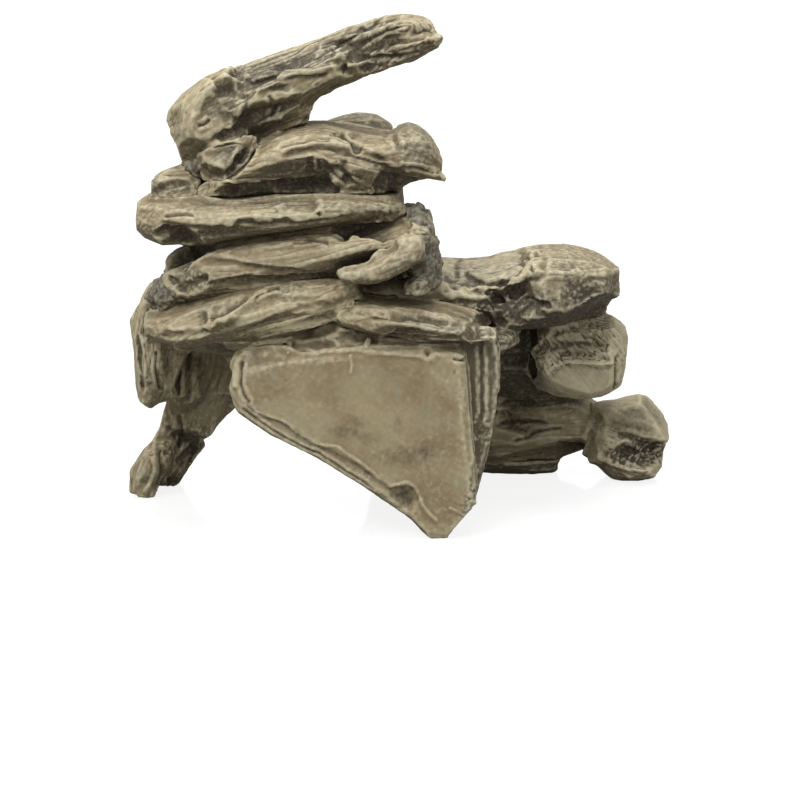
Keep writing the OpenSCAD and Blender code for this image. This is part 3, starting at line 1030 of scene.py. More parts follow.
@dataclass(frozen=True)
class PaintedResin:
    """Cast polyester resin, hand-painted: a khaki base coat, an umber wash and a pale dry brush.

    To the eye it is matt and a little blotchy, dark in the recesses and chalky on the edges, with brush
    hairs along the grain. The wash also paints shade into tight joints, overhung places and undersides,
    and the dry brush paints light onto the tops. Blotch, haze, fleck and grit are pattern sizes in
    millimetres. The hairs are drawn coarser than real ones, so that they show.
    """

    name: str = "painted_polyester_resin"
    base: str = "#8f8264"
    warm: str = "#7d6d50"
    cool: str = "#86836d"
    # The umber and wash colours paint the real wash and the painted shade; the brush colour paints the dry
    # brush and painted light on tops.
    umber: str = "#605744"
    wash: str = "#38322a"
    brush: str = "#c0b79b"
    broken: str = "#77746a"
    wash_and_shade_strength: float = 0.92
    brush_and_highlight_strength: float = 0.75
    roughness: float = 0.62
    blotch: float = 19.0
    haze: float = 6.5
    fleck: float = 1.3
    grit: float = 0.55
    heading: float = 0.0
    fibre: float = 0.5

    def material(self) -> bpy.types.Material:
        """Builds the paint's layers, from the base coat up.

        Returns:
            The finished material.
        """
        made = bpy.data.materials.new(f"{self.name}_grain_{self.heading:.0f}")
        made.use_nodes = True
        tree = made.node_tree
        tree.nodes.clear()
        place = add_node(tree, "ShaderNodeTexCoord").outputs["Object"]
        turned = add_node(tree, "ShaderNodeMapping",
                          {"Vector": place, "Rotation": (0, math.radians(self.heading), 0)})
        grained = add_node(tree, "ShaderNodeMapping", {"Vector": turned.outputs[0], "Scale": (0.09, 0.8, 1)})
        fibres = add_node(tree, "ShaderNodeTexNoise",
                          {"Vector": grained.outputs[0], "Scale": per_metre(1.3), "Detail": 2.0}).outputs[0]
        sizes = {"blotch": (self.blotch, 3.0), "haze": (self.haze, 3.0), "crumb": (2.2, 3.0),
                 "fleck": (self.fleck, 3.0), "drift": (5.0, 3.0), "speck": (self.fleck * 1.6, 3.0),
                 "pore": (self.grit, 2.0), "skin": (2.0, 3.0), "satin": (4.0, 3.0)}
        cloud = {name: add_node(tree, "ShaderNodeTexNoise",
                                {"Vector": place, "Scale": per_metre(size), "Detail": detail}).outputs[0]
                 for name, (size, detail) in sizes.items()}
        left = {name: add_node(tree, "ShaderNodeAttribute", attribute_name=name).outputs["Fac"]
                for name in ("wash", "edge", "grit", "tone")}
        ranges = {"blotch": (cloud["blotch"], 0.4, 0.62, 0.0, 1.0),
                  "haze": (cloud["haze"], 0.5, 0.7, 0.0, 0.55),
                  "crumb": (cloud["crumb"], 0.35, 0.55, 0.45, 1.0),
                  "paler": (left["tone"], 0.5, 1.0, 0.0, 1.0),
                  "darker": (left["tone"], 0.5, 0.0, 0.0, 1.0),
                  "fleck": (cloud["fleck"], 0.35, 0.65, 0.5, 1.4),
                  "drift": (cloud["drift"], 0.35, 0.65, 0.8, 1.1),
                  "lines": (fibres, 0.46, 0.28, 0.0, 0.3 * self.fibre),
                  "speck": (cloud["speck"], 0.35, 0.65, 0.35, 1.0),
                  "shine": (cloud["satin"], 0.3, 0.7, self.roughness - 0.07, self.roughness + 0.09)}
        share = {name: add_node(tree, "ShaderNodeMapRange", dict(enumerate(row))).outputs[0]
                 for name, row in ranges.items()}
        times = {"operation": "MULTIPLY", "use_clamp": True}
        plus = {"operation": "ADD", "use_clamp": True}
        broken = add_node(tree, "ShaderNodeMath", {0: left["grit"], 1: share["crumb"]}, **times).outputs[0]
        thin = add_node(tree, "ShaderNodeMath", {0: share["fleck"], 1: share["drift"]}, **times).outputs[0]
        # These layers darken by the stored wash, which holds the real wash and the painted shade.
        pooled_wash_and_shade = add_node(tree, "ShaderNodeMath", {0: left["wash"], 1: thin}, **times).outputs[0]
        dark = add_node(tree, "ShaderNodeMath", {0: pooled_wash_and_shade, 1: share["lines"]}, **plus).outputs[0]
        umber = add_node(tree, "ShaderNodeMapRange", {0: dark, 1: 0.0, 2: 0.55, 3: 0.0, 4: 1.0}).outputs[0]
        wash = add_node(tree, "ShaderNodeMapRange",
                        {0: dark, 1: 0.4, 2: 0.95, 3: 0.0, 4: self.wash_and_shade_strength}).outputs[0]
        # The dry brush, which is also painted light on the tops.
        pale = add_node(tree, "ShaderNodeMath", {0: left["edge"], 1: share["speck"]}, **times).outputs[0]
        brush = add_node(tree, "ShaderNodeMath", {0: pale, 1: self.brush_and_highlight_strength}, **times).outputs[0]
        colour = linear(self.base)
        for amount, coat in ((share["blotch"], self.warm), (share["haze"], self.cool), (broken, self.broken),
                             (share["paler"], self.brush), (share["darker"], self.wash), (umber, self.umber),
                             (wash, self.wash), (brush, self.brush)):
            colour = add_node(tree, "ShaderNodeMix", {0: amount, 6: colour, 7: linear(coat)},
                              data_type="RGBA").outputs[2]
        pores = add_node(tree, "ShaderNodeMath", {0: cloud["pore"], 1: 0.35}, **times).outputs[0]
        skin = add_node(tree, "ShaderNodeMath", {0: cloud["skin"], 1: 0.65}, **times).outputs[0]
        rough = add_node(tree, "ShaderNodeMath", {0: pores, 1: skin}, **plus).outputs[0]
        soft = add_node(tree, "ShaderNodeMath", {0: rough, 1: 0.6}, **times).outputs[0]
        hairs = add_node(tree, "ShaderNodeMath", {0: fibres, 1: 0.8 * self.fibre}, **times).outputs[0]
        height = add_node(tree, "ShaderNodeMath", {0: soft, 1: hairs}, **plus).outputs[0]
        bump = add_node(tree, "ShaderNodeBump", {"Strength": 0.7, "Distance": 0.5 * MM, "Height": height})
        paint = add_node(tree, "ShaderNodeBsdfPrincipled",
                         {"Base Color": colour, "Roughness": share["shine"], "IOR": 1.5, "Metallic": 0.0,
                          "Specular IOR Level": 0.3, "Normal": bump.outputs["Normal"]})
        add_node(tree, "ShaderNodeOutputMaterial", {"Surface": paint.outputs["BSDF"]})
        return made


@dataclass(frozen=True)
class BareResin:
    """Unpainted cast resin of the dowels. To the eye it is bone-coloured and faintly clouded, with the
    satin skin that the mould leaves.
    """

    name: str = "bare_cast_resin"
    base: str = "#cfcabd"
    cloudy: str = "#b9b19c"
    roughness: float = 0.42

    def material(self) -> bpy.types.Material:
        """Builds the clouded resin.

        Returns:
            The finished material.
        """
        made = bpy.data.materials.new(self.name)
        made.use_nodes = True
        tree = made.node_tree
        tree.nodes.clear()
        place = add_node(tree, "ShaderNodeTexCoord").outputs["Object"]
        cloud = add_node(tree, "ShaderNodeTexNoise", {"Vector": place, "Scale": per_metre(3.0)}).outputs[0]
        colour = add_node(tree, "ShaderNodeMix", {0: cloud, 6: linear(self.base), 7: linear(self.cloudy)},
                          data_type="RGBA").outputs[2]
        bump = add_node(tree, "ShaderNodeBump", {"Strength": 0.2, "Distance": 0.1 * MM, "Height": cloud})
        resin = add_node(tree, "ShaderNodeBsdfPrincipled",
                         {"Base Color": colour, "Roughness": self.roughness, "IOR": 1.5,
                          "Normal": bump.outputs["Normal"]})
        add_node(tree, "ShaderNodeOutputMaterial", {"Surface": resin.outputs["BSDF"]})
        return made


@dataclass
class Workshop:
    """What every sub-assembly shares: the surroundings and the finishes."""

    around: Surroundings
    paints: dict[float, bpy.types.Material]
    rubble: bpy.types.Material
    dowel: bpy.types.Material

    def paint(self, relief: Relief) -> bpy.types.Material:
        """The paint whose brushed fibres run along the stone's grain, mixed when it is first asked for.

        Args:
            relief: The stone's relief, whose heading the fibres follow.

        Returns:
            The paint.
        """
        if relief.heading not in self.paints:
            paint = PaintedResin(heading=relief.heading, fibre=relief.fibre())
            self.paints[relief.heading] = paint.material()
        return self.paints[relief.heading]

    def finish(self, stone: Stone, slot: str = "painted_stone") -> None:
        """Carves a stone, paints it and hands it to the frame.

        Args:
            stone: What is to be carved.
            slot: The finish that the stone stands for.
        """
        clay = Carver(stone, self.around).carve()
        piece = clay.piece
        piece.data.materials.clear()
        piece.data.materials.append(self.paint(stone.relief) if slot == "painted_stone" else self.rubble)
        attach(piece, BODY)
        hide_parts(stone.node)
        log.info("%s: %d faces", piece.name, len(piece.data.polygons))


LIP, GROOVE, RIDGE, WASH = Cut.LIP, Cut.GROOVE, Cut.RIDGE, Cut.WASH


@dataclass
class Crown:
    """The long leaning stone on top, and the two small stones at its root. Lengths are in millimetres."""

    grain_depth: float = 0.55
    grain_pitch: float = 2.5

    def build(self, shop: Workshop) -> None:
        """Carves the crown's stones.

        Args:
            shop: The surroundings and the finishes.
        """
        for stone in (self._crown(), self._knuckle(), self._chip()):
            shop.finish(stone)

    def _crown(self) -> Stone:
        """The long stone that leans out, with wavy wood-like grain and a blunt head at its root."""
        return Stone(
            "crown_stone", Relief(heading=27, bow=5, lumps=0.7, crests=1.2, crest_gap=7, strata=0.2,
                                  flutes=self.grain_depth, pitch=self.grain_pitch, chips=7, seed=11),
            lumps=(
                Lump((.445, .45, .33), (13, 8, 6), 30, 1),
                Lump((.4, .45, .63), (20, 9, 7.5), 25, 1),
                Lump((.6, .45, .75), (15, 8, 6), 22, 1),
                Lump((.38, .4, .26), (11, 9, 7), 36, 1),
                Lump((.16, .3, .22), (11, 11, 13), 70, 1),
                Lump((.28, .3, .2), (12, 10, 8), 35, 1),
                Lump((.985, .35, .83), (3, 4, 4), 0, 1),
            ),
            chops=(
                Chop((.03, .35, .3), (-.85, -.5, .05), 22),
                Chop((.17, .08, .36), (.05, -1.0, .2), 20),
                Chop((.13, .14, .14), (-.25, -.8, -.55), 18),
                Chop((.5, .12, .52), (.15, -.85, -.5), 30),
                Chop((.55, .3, .72), (-.3, -.45, .85), 36),
                Chop((.97, .4, .95), (.8, -.2, .55), 16),
            ),
            strokes=(
                Stroke(GROOVE, ((.24, .47), (.29, .52), (.36, .58), (.44, .66), (.52, .71), (.6, .75),
                       (.7, .82)), 2.0, 2.6),
                Stroke(GROOVE, ((.26, .46), (.33, .5), (.4, .53), (.46, .54)), 1.6, 1.9),
                Stroke(LIP, ((.3, .56), (.4, .6), (.5, .62), (.6, .63)), 1.1, 1.6),
                Stroke(GROOVE, ((.4, .65), (.5, .67), (.58, .69), (.66, .73)), 1.5, 1.9),
                Stroke(GROOVE, ((.56, .77), (.62, .82), (.68, .88), (.73, .92)), 1.5, 1.9),
                Stroke(GROOVE, ((.6, .76), (.67, .83), (.73, .9), (.78, .95)), 1.2, 1.5),
                Stroke(GROOVE, ((.7, .78), (.76, .85), (.82, .9), (.88, .93)), 1.0, 1.4),
                Stroke(GROOVE, ((.66, .7), (.76, .72), (.86, .735), (.95, .75)), 1.1, 1.5),
                Stroke(RIDGE, ((.62, .66), (.7, .68), (.8, .75), (.9, .82), (.97, .86)), 1.0, 1.8),
                Stroke(GROOVE, ((.8, .8), (.88, .83), (.95, .85)), 0.8, 1.2),
                Stroke(GROOVE, ((.125, .3), (.15, .31), (.175, .335)), 1.0, 1.3),
                Stroke(LIP, ((.15, .21), (.2, .24), (.26, .3), (.28, .38), (.3, .45)), 1.4, 2.0, 4),
                Stroke(RIDGE, ((.17, .52), (.13, .4), (.1, .3), (.09, .2)), 0.9, 2.4),
                Stroke(RIDGE, ((.25, .36), (.33, .44), (.42, .48), (.5, .54)), 1.4, 2.6),
                Stroke(GROOVE, ((.27, .31), (.35, .38), (.43, .41), (.49, .46)), 1.6, 2.0),
                Stroke(RIDGE, ((.29, .26), (.36, .32), (.44, .36)), 1.2, 2.4),
                Stroke(GROOVE, ((.38, .5), (.4, .42), (.38, .34)), 1.0, 1.6),
                # Wash and painted shade along the grooves.
                Stroke(WASH, ((.3, .55), (.42, .64), (.55, .7), (.68, .78)), 0.55, 4.5),
                Stroke(WASH, ((.55, .77), (.65, .84), (.74, .92)), 0.45, 3.5),
            ),
            patches=(
                Patch(Spot.CALM, (.13, .35), (17, 20), 0.9),
                Patch(Spot.HOLLOW, (.22, .45), (8, 5), 0.8, 30),
                Patch(Spot.HOLLOW, (.36, .38), (9, 5), 0.8, 20),
                # The low stain is painted shade.
                Patch(Spot.STAIN_AND_SHADE, (.36, .3), (7, 4), 0.2, 10),
                # The pale head is painted light where the key light falls, partly dry brush.
                Patch(Spot.PALE, (.12, .36), (14, 20), 0.35),
            ),
        )

    def _knuckle(self) -> Stone:
        """The small creased stone in front of the crown's root."""
        return Stone(
            "knuckle_stone", Relief(heading=40, lumps=1.2, chips=6, chip_size=5, seed=12),
            tone=-0.1,
            lumps=(
                Lump((.8, .5, .85), (7, 8, 5), 40, 1),
                Lump((.15, .6, .6), (7, 8, 6), 20, 1),
                Lump((.1, .55, .1), (6, 7, 4), 0, 1),
            ),
            chops=(
                Chop((.4, .22, .7), (-.25, -.8, .55), 12),
                Chop((.7, .25, .4), (.5, -.8, -.3), 12),
                Chop((.3, .2, .25), (-.4, -.75, -.5), 12),
            ),
            strokes=(
                Stroke(GROOVE, ((.45, .1), (.6, .35), (.7, .6), (.8, .85)), 2.0, 2.4),
                # Wash and painted shade in the crease.
                Stroke(WASH, ((.5, .2), (.66, .45), (.8, .8)), 0.8, 3.0),
            ),
            # Dry brush and painted light on the lit side.
            patches=(Patch(Spot.PALE, (.35, .6), (5, 5), 0.4),),
        )

    def _chip(self) -> Stone:
        """The flat chip left of the knuckle, with a dark underside."""
        return Stone(
            "chip_stone", Relief(heading=10, lumps=0.4, chips=5, chip_size=5, seed=13),
            strokes=(Stroke(LIP, ((.15, .5), (.35, .62), (.6, .66), (.85, .55)), 2.4, 2.0, 6),),
            # The stains under the lip and at the left end are painted shade.
            patches=(
                Patch(Spot.STAIN_AND_SHADE, (.55, .3), (9, 3.5), 0.7),
                Patch(Spot.STAIN_AND_SHADE, (.08, .4), (3, 6), 0.6),
            ),
        )


@dataclass
class Tower:
    """The leaning stack of courses over the left end. Lengths are in millimetres."""

    layer: float = 6.0
    strata_depth: float = 0.4

    def build(self, shop: Workshop) -> None:
        """Carves the courses, the arch and the small stones beside them.

        Args:
            shop: The surroundings and the finishes.
        """
        for stone in (self._arch(), self._course3(), self._course2(), self._course1(),
                      self._under_course(), self._back(), self._finger(), self._wedge(),
                      self._rear_buttress()):
            shop.finish(stone)

    def _bed(self) -> dict[str, float]:
        """The bedding that all courses share."""
        return {"strata": self.strata_depth, "layer": self.layer}

    def _arch(self) -> Stone:
        """The arched fourth course, whose folds run up over it and down to a pointed right end."""
        return Stone(
            "arch_stone", Relief(heading=-4, bow=9, flutes=0.4, crests=0.6, seed=21, **self._bed()),
            lumps=(Lump((.955, .25, .3), (7, 7, 4), -28, 1), Lump((.88, .3, .7), (9, 9, 7), -20, 1)),
            chops=(
                Chop((.3, .12, .25), (.1, -.8, -.6), 30),
                Chop((.75, .12, .3), (.15, -.85, -.5), 30),
                Chop((.95, .2, .8), (.55, -.4, .7), 14),
                Chop((.88, .2, .3), (-.05, -.65, -.75), 16),
            ),
            strokes=(
                Stroke(LIP, ((.33, .58), (.38, .68), (.45, .74), (.52, .77), (.6, .73), (.7, .66),
                       (.8, .52)), 1.8, 2.0, 3),
                Stroke(GROOVE, ((.34, .72), (.4, .79), (.48, .84), (.56, .83)), 0.9, 1.4),
                Stroke(LIP, ((.12, .24), (.22, .24), (.32, .28), (.42, .3), (.5, .3)), 2.2, 2.4, 6),
                Stroke(GROOVE, ((.475, .62), (.465, .48), (.46, .34)), 1.2, 1.9),
                Stroke(GROOVE, ((.5, .58), (.505, .48), (.5, .4)), 0.6, 1.2),
                Stroke(GROOVE, ((.57, .58), (.585, .44), (.63, .34), (.68, .3)), 0.5, 1.2),
                Stroke(GROOVE, ((.54, .54), (.55, .42), (.59, .3), (.66, .22)), 0.5, 1.2),
                Stroke(LIP, ((.6, .68), (.7, .58), (.78, .46), (.84, .4)), 1.2, 2.0, 3),
                Stroke(GROOVE, ((.8, .86), (.82, .74), (.83, .66)), 1.6, 2.0),
                Stroke(RIDGE, ((.82, .52), (.88, .48), (.94, .42)), 0.9, 1.6),
                Stroke(RIDGE, ((.16, .12), (.28, .14), (.4, .09), (.52, .13), (.62, .08)), 1.3, 2.6),
                Stroke(RIDGE, ((.66, .2), (.74, .12), (.84, .16)), 1.1, 2.4),
                Stroke(GROOVE, ((.84, .44), (.92, .4), (.99, .33)), 1.0, 1.3),
            ),
            patches=(
                Patch(Spot.HOLLOW, (.42, .2), (15, 3.5), 1.4),
                # The stain under the low lip is painted shade.
                Patch(Spot.STAIN_AND_SHADE, (.42, .18), (14, 3), 0.4),
                Patch(Spot.STAIN_AND_SHADE, (.475, .48), (2, 5), 0.8),
                Patch(Spot.GRIT, (.9, .65), (11, 11), 0.35),
                # The pale patch is dry brush and painted light.
                Patch(Spot.PALE, (.3, .48), (7, 6), 0.2),
            ),
        )

    def _course3(self) -> Stone:
        """The third course, with a long overhanging lip."""
        return Stone(
            "course3_stone", Relief(heading=2, seed=22, **self._bed()),
            tone=-0.06,
            chops=(
                Chop((.25, .1, .2), (.02, -.75, -.65), 34),
                Chop((.65, .12, .25), (.05, -.75, -.65), 36),
                Chop((.95, .25, .4), (.6, -.7, -.35), 20),
                Chop((.3, .1, .8), (.0, -.55, .85), 40),
            ),
            strokes=(
                Stroke(LIP, ((.09, .55), (.2, .52), (.3, .5), (.38, .5), (.4, .62), (.48, .58), (.54, .6),
                       (.66, .6), (.72, .64), (.84, .72)), 3.4, 2.6, 7),
                Stroke(GROOVE, ((.12, .62), (.17, .68), (.24, .69)), 0.8, 1.2),
                # Wash and painted shade along the seam at its top.
                Stroke(WASH, ((.05, .84), (.25, .8), (.45, .9), (.7, .84), (.95, .8)), 0.35, 3.0),
                Stroke(RIDGE, ((.44, .66), (.52, .74), (.58, .8)), 0.8, 2.2),
                Stroke(GROOVE, ((.69, .74), (.7, .66)), 1.2, 1.4),
                Stroke(RIDGE, ((.22, .22), (.36, .26), (.5, .3), (.66, .34)), 1.1, 2.4),
            ),
            patches=(
                # The two stains under the lip are painted shade.
                Patch(Spot.STAIN_AND_SHADE, (.3, .35), (26, 4), 0.3),
                Patch(Spot.STAIN_AND_SHADE, (.6, .42), (26, 4), 0.3),
                Patch(Spot.GRIT, (.92, .5), (8, 8), 0.6),
                # The pale band on top is painted light, partly dry brush.
                Patch(Spot.PALE, (.45, .75), (24, 4), 0.25),
                Patch(Spot.CALM, (.2, .75), (16, 6), 0.7),
            ),
        )

    def _course2(self) -> Stone:
        """The second course, which narrows into the rubble."""
        return Stone(
            "course2_stone", Relief(heading=9, seed=23, **self._bed()),
            chops=(
                Chop((.3, .1, .22), (.12, -.75, -.65), 34),
                Chop((.65, .12, .4), (.15, -.75, -.65), 34),
                Chop((.5, .12, .78), (-.15, -.6, .8), 40),
                Chop((.84, .2, .62), (.25, -.7, -.66), 8),
            ),
            strokes=(
                Stroke(LIP, ((.12, .5), (.2, .55), (.28, .54), (.36, .5), (.44, .47), (.56, .47),
                       (.66, .44)), 1.7, 2.0),
                Stroke(RIDGE, ((.14, .55), (.3, .66), (.45, .72), (.54, .8), (.66, .83)), 1.2, 2.8),
                Stroke(GROOVE, ((.48, .74), (.56, .77), (.62, .75)), 0.8, 1.2),
                Stroke(LIP, ((.16, .25), (.24, .34), (.32, .37), (.42, .36), (.52, .4), (.66, .38)), 3.0,
                       2.6, 6),
                Stroke(GROOVE, ((.16, .3), (.18, .38)), 1.4, 1.9),
            ),
            patches=(
                Patch(Spot.STAIN_AND_SHADE, (.8, .55), (15, 6.5), 0.25, 12),
                Patch(Spot.GRIT, (.14, .3), (6, 5), 0.5),
                Patch(Spot.GRIT, (.95, .6), (6, 9), 0.8),
            ),
        )

    def _course1(self) -> Stone:
        """The first course, with a fold that climbs across its face."""
        return Stone(
            "course1_stone", Relief(heading=16, chips=3, seed=74, **self._bed()),
            chops=(Chop((.3, .06, .14), (.2, -.7, -.68), 36), Chop((.7, .06, .46), (.22, -.7, -.68), 34)),
            strokes=(
                Stroke(LIP, ((.06, .2), (.16, .3), (.28, .33), (.38, .42), (.46, .56), (.52, .7),
                       (.6, .8), (.7, .78), (.84, .8)), 1.2, 2.2),
                Stroke(RIDGE, ((.3, .34), (.38, .44), (.46, .58), (.53, .73), (.6, .82)), 1.4, 2.4),
                Stroke(GROOVE, ((.3, .4), (.36, .5), (.44, .62), (.5, .76)), 1.4, 1.9),
                Stroke(LIP, ((.34, .2), (.44, .3), (.54, .44), (.66, .6), (.78, .7), (.9, .76)), 1.0, 1.9,
                       3),
                Stroke(LIP, ((.04, .08), (.14, .1), (.26, .12), (.36, .14)), 1.2, 1.8),
                Stroke(GROOVE, ((.52, .74), (.58, .84), (.64, .88)), 0.7, 1.2),
            ),
            patches=(
                Patch(Spot.GRIT, (.36, .56), (6, 4), 0.15),
                Patch(Spot.GRIT, (.67, .86), (7, 4), 0.35),
                Patch(Spot.CALM, (.2, .42), (10, 5), 0.6),
                Patch(Spot.CALM, (.45, .4), (12, 3), 0.5, 35),
            ),
        )

    def _under_course(self) -> Stone:
        """The thin tongue under the first course."""
        return Stone(
            "under_course", Relief(heading=14, lumps=0.5, chips=4, seed=25, **self._bed()),
            strokes=(Stroke(RIDGE, ((.3, .15), (.5, .22), (.7, .4), (.9, .62)), 1.0, 1.8),),
        )

    def _back(self) -> Stone:
        """The darker stone that shows behind the arch."""
        return Stone("back_stone", Relief(heading=5, lumps=1.0, seed=26), tone=-0.3)

    def _finger(self) -> Stone:
        """The bent finger-like stone at the right end of the second course."""
        return Stone(
            "finger_stone", Relief(heading=28, lumps=0.5, crests=0.1, strata=0.0, flutes=0.1, chips=0,
                                   facet=5, seed=27),
            tone=-0.05,
            grit=0.16,
            lumps=(Lump((.8, .45, .7), (6.5, 6, 6), -40), Lump((.58, .45, .42), (6.5, 5, 4.2), -30)),
        )

    def _wedge(self) -> Stone:
        """The nub under the finger."""
        return Stone("wedge_stone", Relief(lumps=0.8, chips=3, chip_size=4, seed=28), tone=-0.4, grit=0.2)

    def _rear_buttress(self) -> Stone:
        """The stone that closes the back of the tower."""
        return Stone(
            "rear_buttress", Relief(heading=80, lumps=1.6, crests=1.0, flutes=0.4, chips=12, seed=29),
        )


@dataclass
class Roof:
    """The roof, the sliver over the front slab and the ledge. Lengths are in millimetres."""

    roof_layer: float = 5.0
    ledge_layer: float = 6.0

    def build(self, shop: Workshop) -> None:
        """Carves the three stones.

        Args:
            shop: The surroundings and the finishes.
        """
        for stone in (self._roof(), self._lintel(), self._ledge()):
            shop.finish(stone)

    def _roof(self) -> Stone:
        """The cave's roof, with upright pleats where it runs down onto the slab."""
        return Stone(
            "roof_stone", Relief(lumps=0.8, layer=self.roof_layer, seed=31),
            tone=-0.04,
            lumps=(
                Lump((.27, .28, .02), (16, 10, 5), -4, 1),
                Lump((.42, .24, .04), (14, 9, 5), 4, 1),
                Lump((.58, .18, .1), (14, 8, 5), 4, 1),
                Lump((.49, .11, .85), (13, 8, 5), 8, 1),
            ),
            strokes=(
                Stroke(RIDGE, ((.37, .75), (.365, .45), (.37, .1)), 1.6, 1.5),
                Stroke(GROOVE, ((.355, .7), (.35, .4), (.35, .1)), 1.0, 1.6),
                Stroke(RIDGE, ((.585, .85), (.575, .62), (.57, .45), (.545, .25)), 2.2, 1.6),
                Stroke(GROOVE, ((.6, .8), (.59, .5), (.565, .2)), 2.0, 2.0),
                Stroke(LIP, ((.26, .55), (.34, .66), (.42, .74), (.5, .8)), 1.8, 2.4, 5),
                Stroke(GROOVE, ((.42, .6), (.48, .66), (.55, .64)), 1.0, 1.8),
            ),
            # The dark patch at the right end is painted shade.
            patches=(Patch(Spot.STAIN_AND_SHADE, (.97, .5), (10, 10), 1.6),),
        )

    def _lintel(self) -> Stone:
        """The flat sliver over the front slab."""
        return Stone(
            "lintel_stone", Relief(heading=-10, lumps=0.4, crests=0.3, chips=5, seed=32),
            chops=(
                Chop((.6, .3, .66), (.28, -.35, .9), 50),
                Chop((.5, .1, .3), (.0, -.8, -.6), 40),
                Chop((.84, .5, .5), (.85, -.35, .4), 24),
            ),
            strokes=(
                Stroke(RIDGE, ((.08, .86), (.2, .9), (.35, .86), (.48, .78), (.62, .62), (.76, .46)), 0.9,
                       1.5),
                Stroke(GROOVE, ((.2, .74), (.4, .7), (.55, .6), (.7, .45)), 0.9, 1.5),
                Stroke(LIP, ((.15, .35), (.25, .25), (.4, .22), (.6, .24), (.8, .26)), 1.4, 1.6, 3),
            ),
        )

    def _ledge(self) -> Stone:
        """The shelf: a smooth scoop, a rough raised end and a dark underside."""
        return Stone(
            "ledge_stone", Relief(heading=-4, bow=-5, lumps=1.0, layer=self.ledge_layer, chips=11, seed=33),
            tone=-0.06,
            lumps=(
                Lump((.985, .35, .66), (4, 6, 2.6), -10, 1),
                Lump((.8, .3, .72), (10, 10, 6), 12, 1),
                Lump((.93, .28, .72), (8, 9, 5), -25, 1),
                Lump((.86, .1, .48), (8, 7, 5), -20, 1),
                Lump((1.0, .3, .48), (4.5, 5, 3), 20, 1),
                Lump((.65, .86, .16), (13, 8, 5), 0, 1),
                Lump((.52, .17, .26), (18, 7, 4.5), -6, 1),
                Lump((.68, .15, .36), (12, 7, 4.5), 24, 1),
            ),
            chops=(
                Chop((.5, .7, .9), (-.05, .4, .9), 60),
                Chop((.43, .45, .72), (-.1, -.14, .98), 28),
                Chop((.49, .36, .76), (-.14, -.52, .84), 15),
                Chop((.84, .14, .62), (.3, -.9, .3), 15),
                Chop((.93, .25, .84), (.55, -.4, .73), 12),
                Chop((.97, .3, .55), (.9, -.4, .1), 18),
                Chop((.88, .25, .32), (.5, -.45, -.74), 26),
                Chop((.6, .1, .2), (.1, -.7, -.7), 30),
            ),
            strokes=(
                Stroke(LIP, ((.42, .76), (.45, .72), (.48, .665), (.52, .635), (.56, .65), (.61, .68),
                       (.66, .73)), 3.0, 2.4, 4),
                Stroke(GROOVE, ((.3, .5), (.41, .46), (.5, .44), (.58, .52), (.66, .6)), 2.2, 4.0),
                Stroke(LIP, ((.3, .42), (.41, .33), (.5, .25), (.56, .23), (.61, .3), (.66, .42),
                       (.75, .55)), 1.3, 2.2, 4),
                Stroke(GROOVE, ((.655, .89), (.67, .85)), 1.4, 1.5),
                Stroke(GROOVE, ((.72, 1.0), (.705, .9), (.7, .8), (.66, .74)), 0.8, 2.0),
                Stroke(RIDGE, ((.33, .66), (.36, .72), (.39, .7)), 1.4, 2.4),
                Stroke(RIDGE, ((.41, .7), (.43, .73), (.45, .68)), 1.2, 2.0),
                # Wash and painted shade under the scoop's lip.
                Stroke(WASH, ((.3, .53), (.41, .5), (.5, .48), (.58, .57)), 0.45, 4.0),
            ),
            patches=(
                Patch(Spot.HOLLOW, (.5, .8), (18, 7), 1.5),
                Patch(Spot.CALM, (.54, .84), (24, 9), 1.0),
                # The pale scoop is painted light where the top light falls, partly dry brush.
                Patch(Spot.PALE, (.5, .8), (26, 9), 0.6),
                Patch(Spot.GRIT, (.86, .68), (17, 14), 0.2),
                Patch(Spot.GRIT, (.4, .42), (18, 4), 0.5, -4),
                # The stains under the scoop's edge and in the hollows are partly wash and partly painted
                # shade.
                Patch(Spot.STAIN_AND_SHADE, (.42, .4), (20, 4), 0.6, -4),
                Patch(Spot.CALM, (.42, .4), (28, 20), 1.0, 0, Face.TOP),
                # Painted light on the top, partly dry brush.
                Patch(Spot.PALE, (.42, .36), (26, 16), 0.6, 0, Face.TOP),
                Patch(Spot.STAIN_AND_SHADE, (.84, .6), (18, 12), 0.3),
                Patch(Spot.STAIN_AND_SHADE, (.58, .42), (20, 5), 0.45, 8),
                Patch(Spot.HOLLOW, (.88, .5), (8, 5), 1.2),
                Patch(Spot.STAIN_AND_SHADE, (.88, .5), (7, 5), 0.45),
                Patch(Spot.STAIN_AND_SHADE, (.77, .86), (8, 4), 0.2),
                # These stains on the underside and along the lower front are painted shade.
                Patch(Spot.STAIN_AND_SHADE, (.8, .3), (26, 9), 0.8, 12, Face.UNDER),
                Patch(Spot.STAIN_AND_SHADE, (.8, .22), (26, 6), 0.9, 12),
                Patch(Spot.STAIN_AND_SHADE, (.55, .2), (24, 6), 0.7, 0, Face.UNDER),
            ),
        )


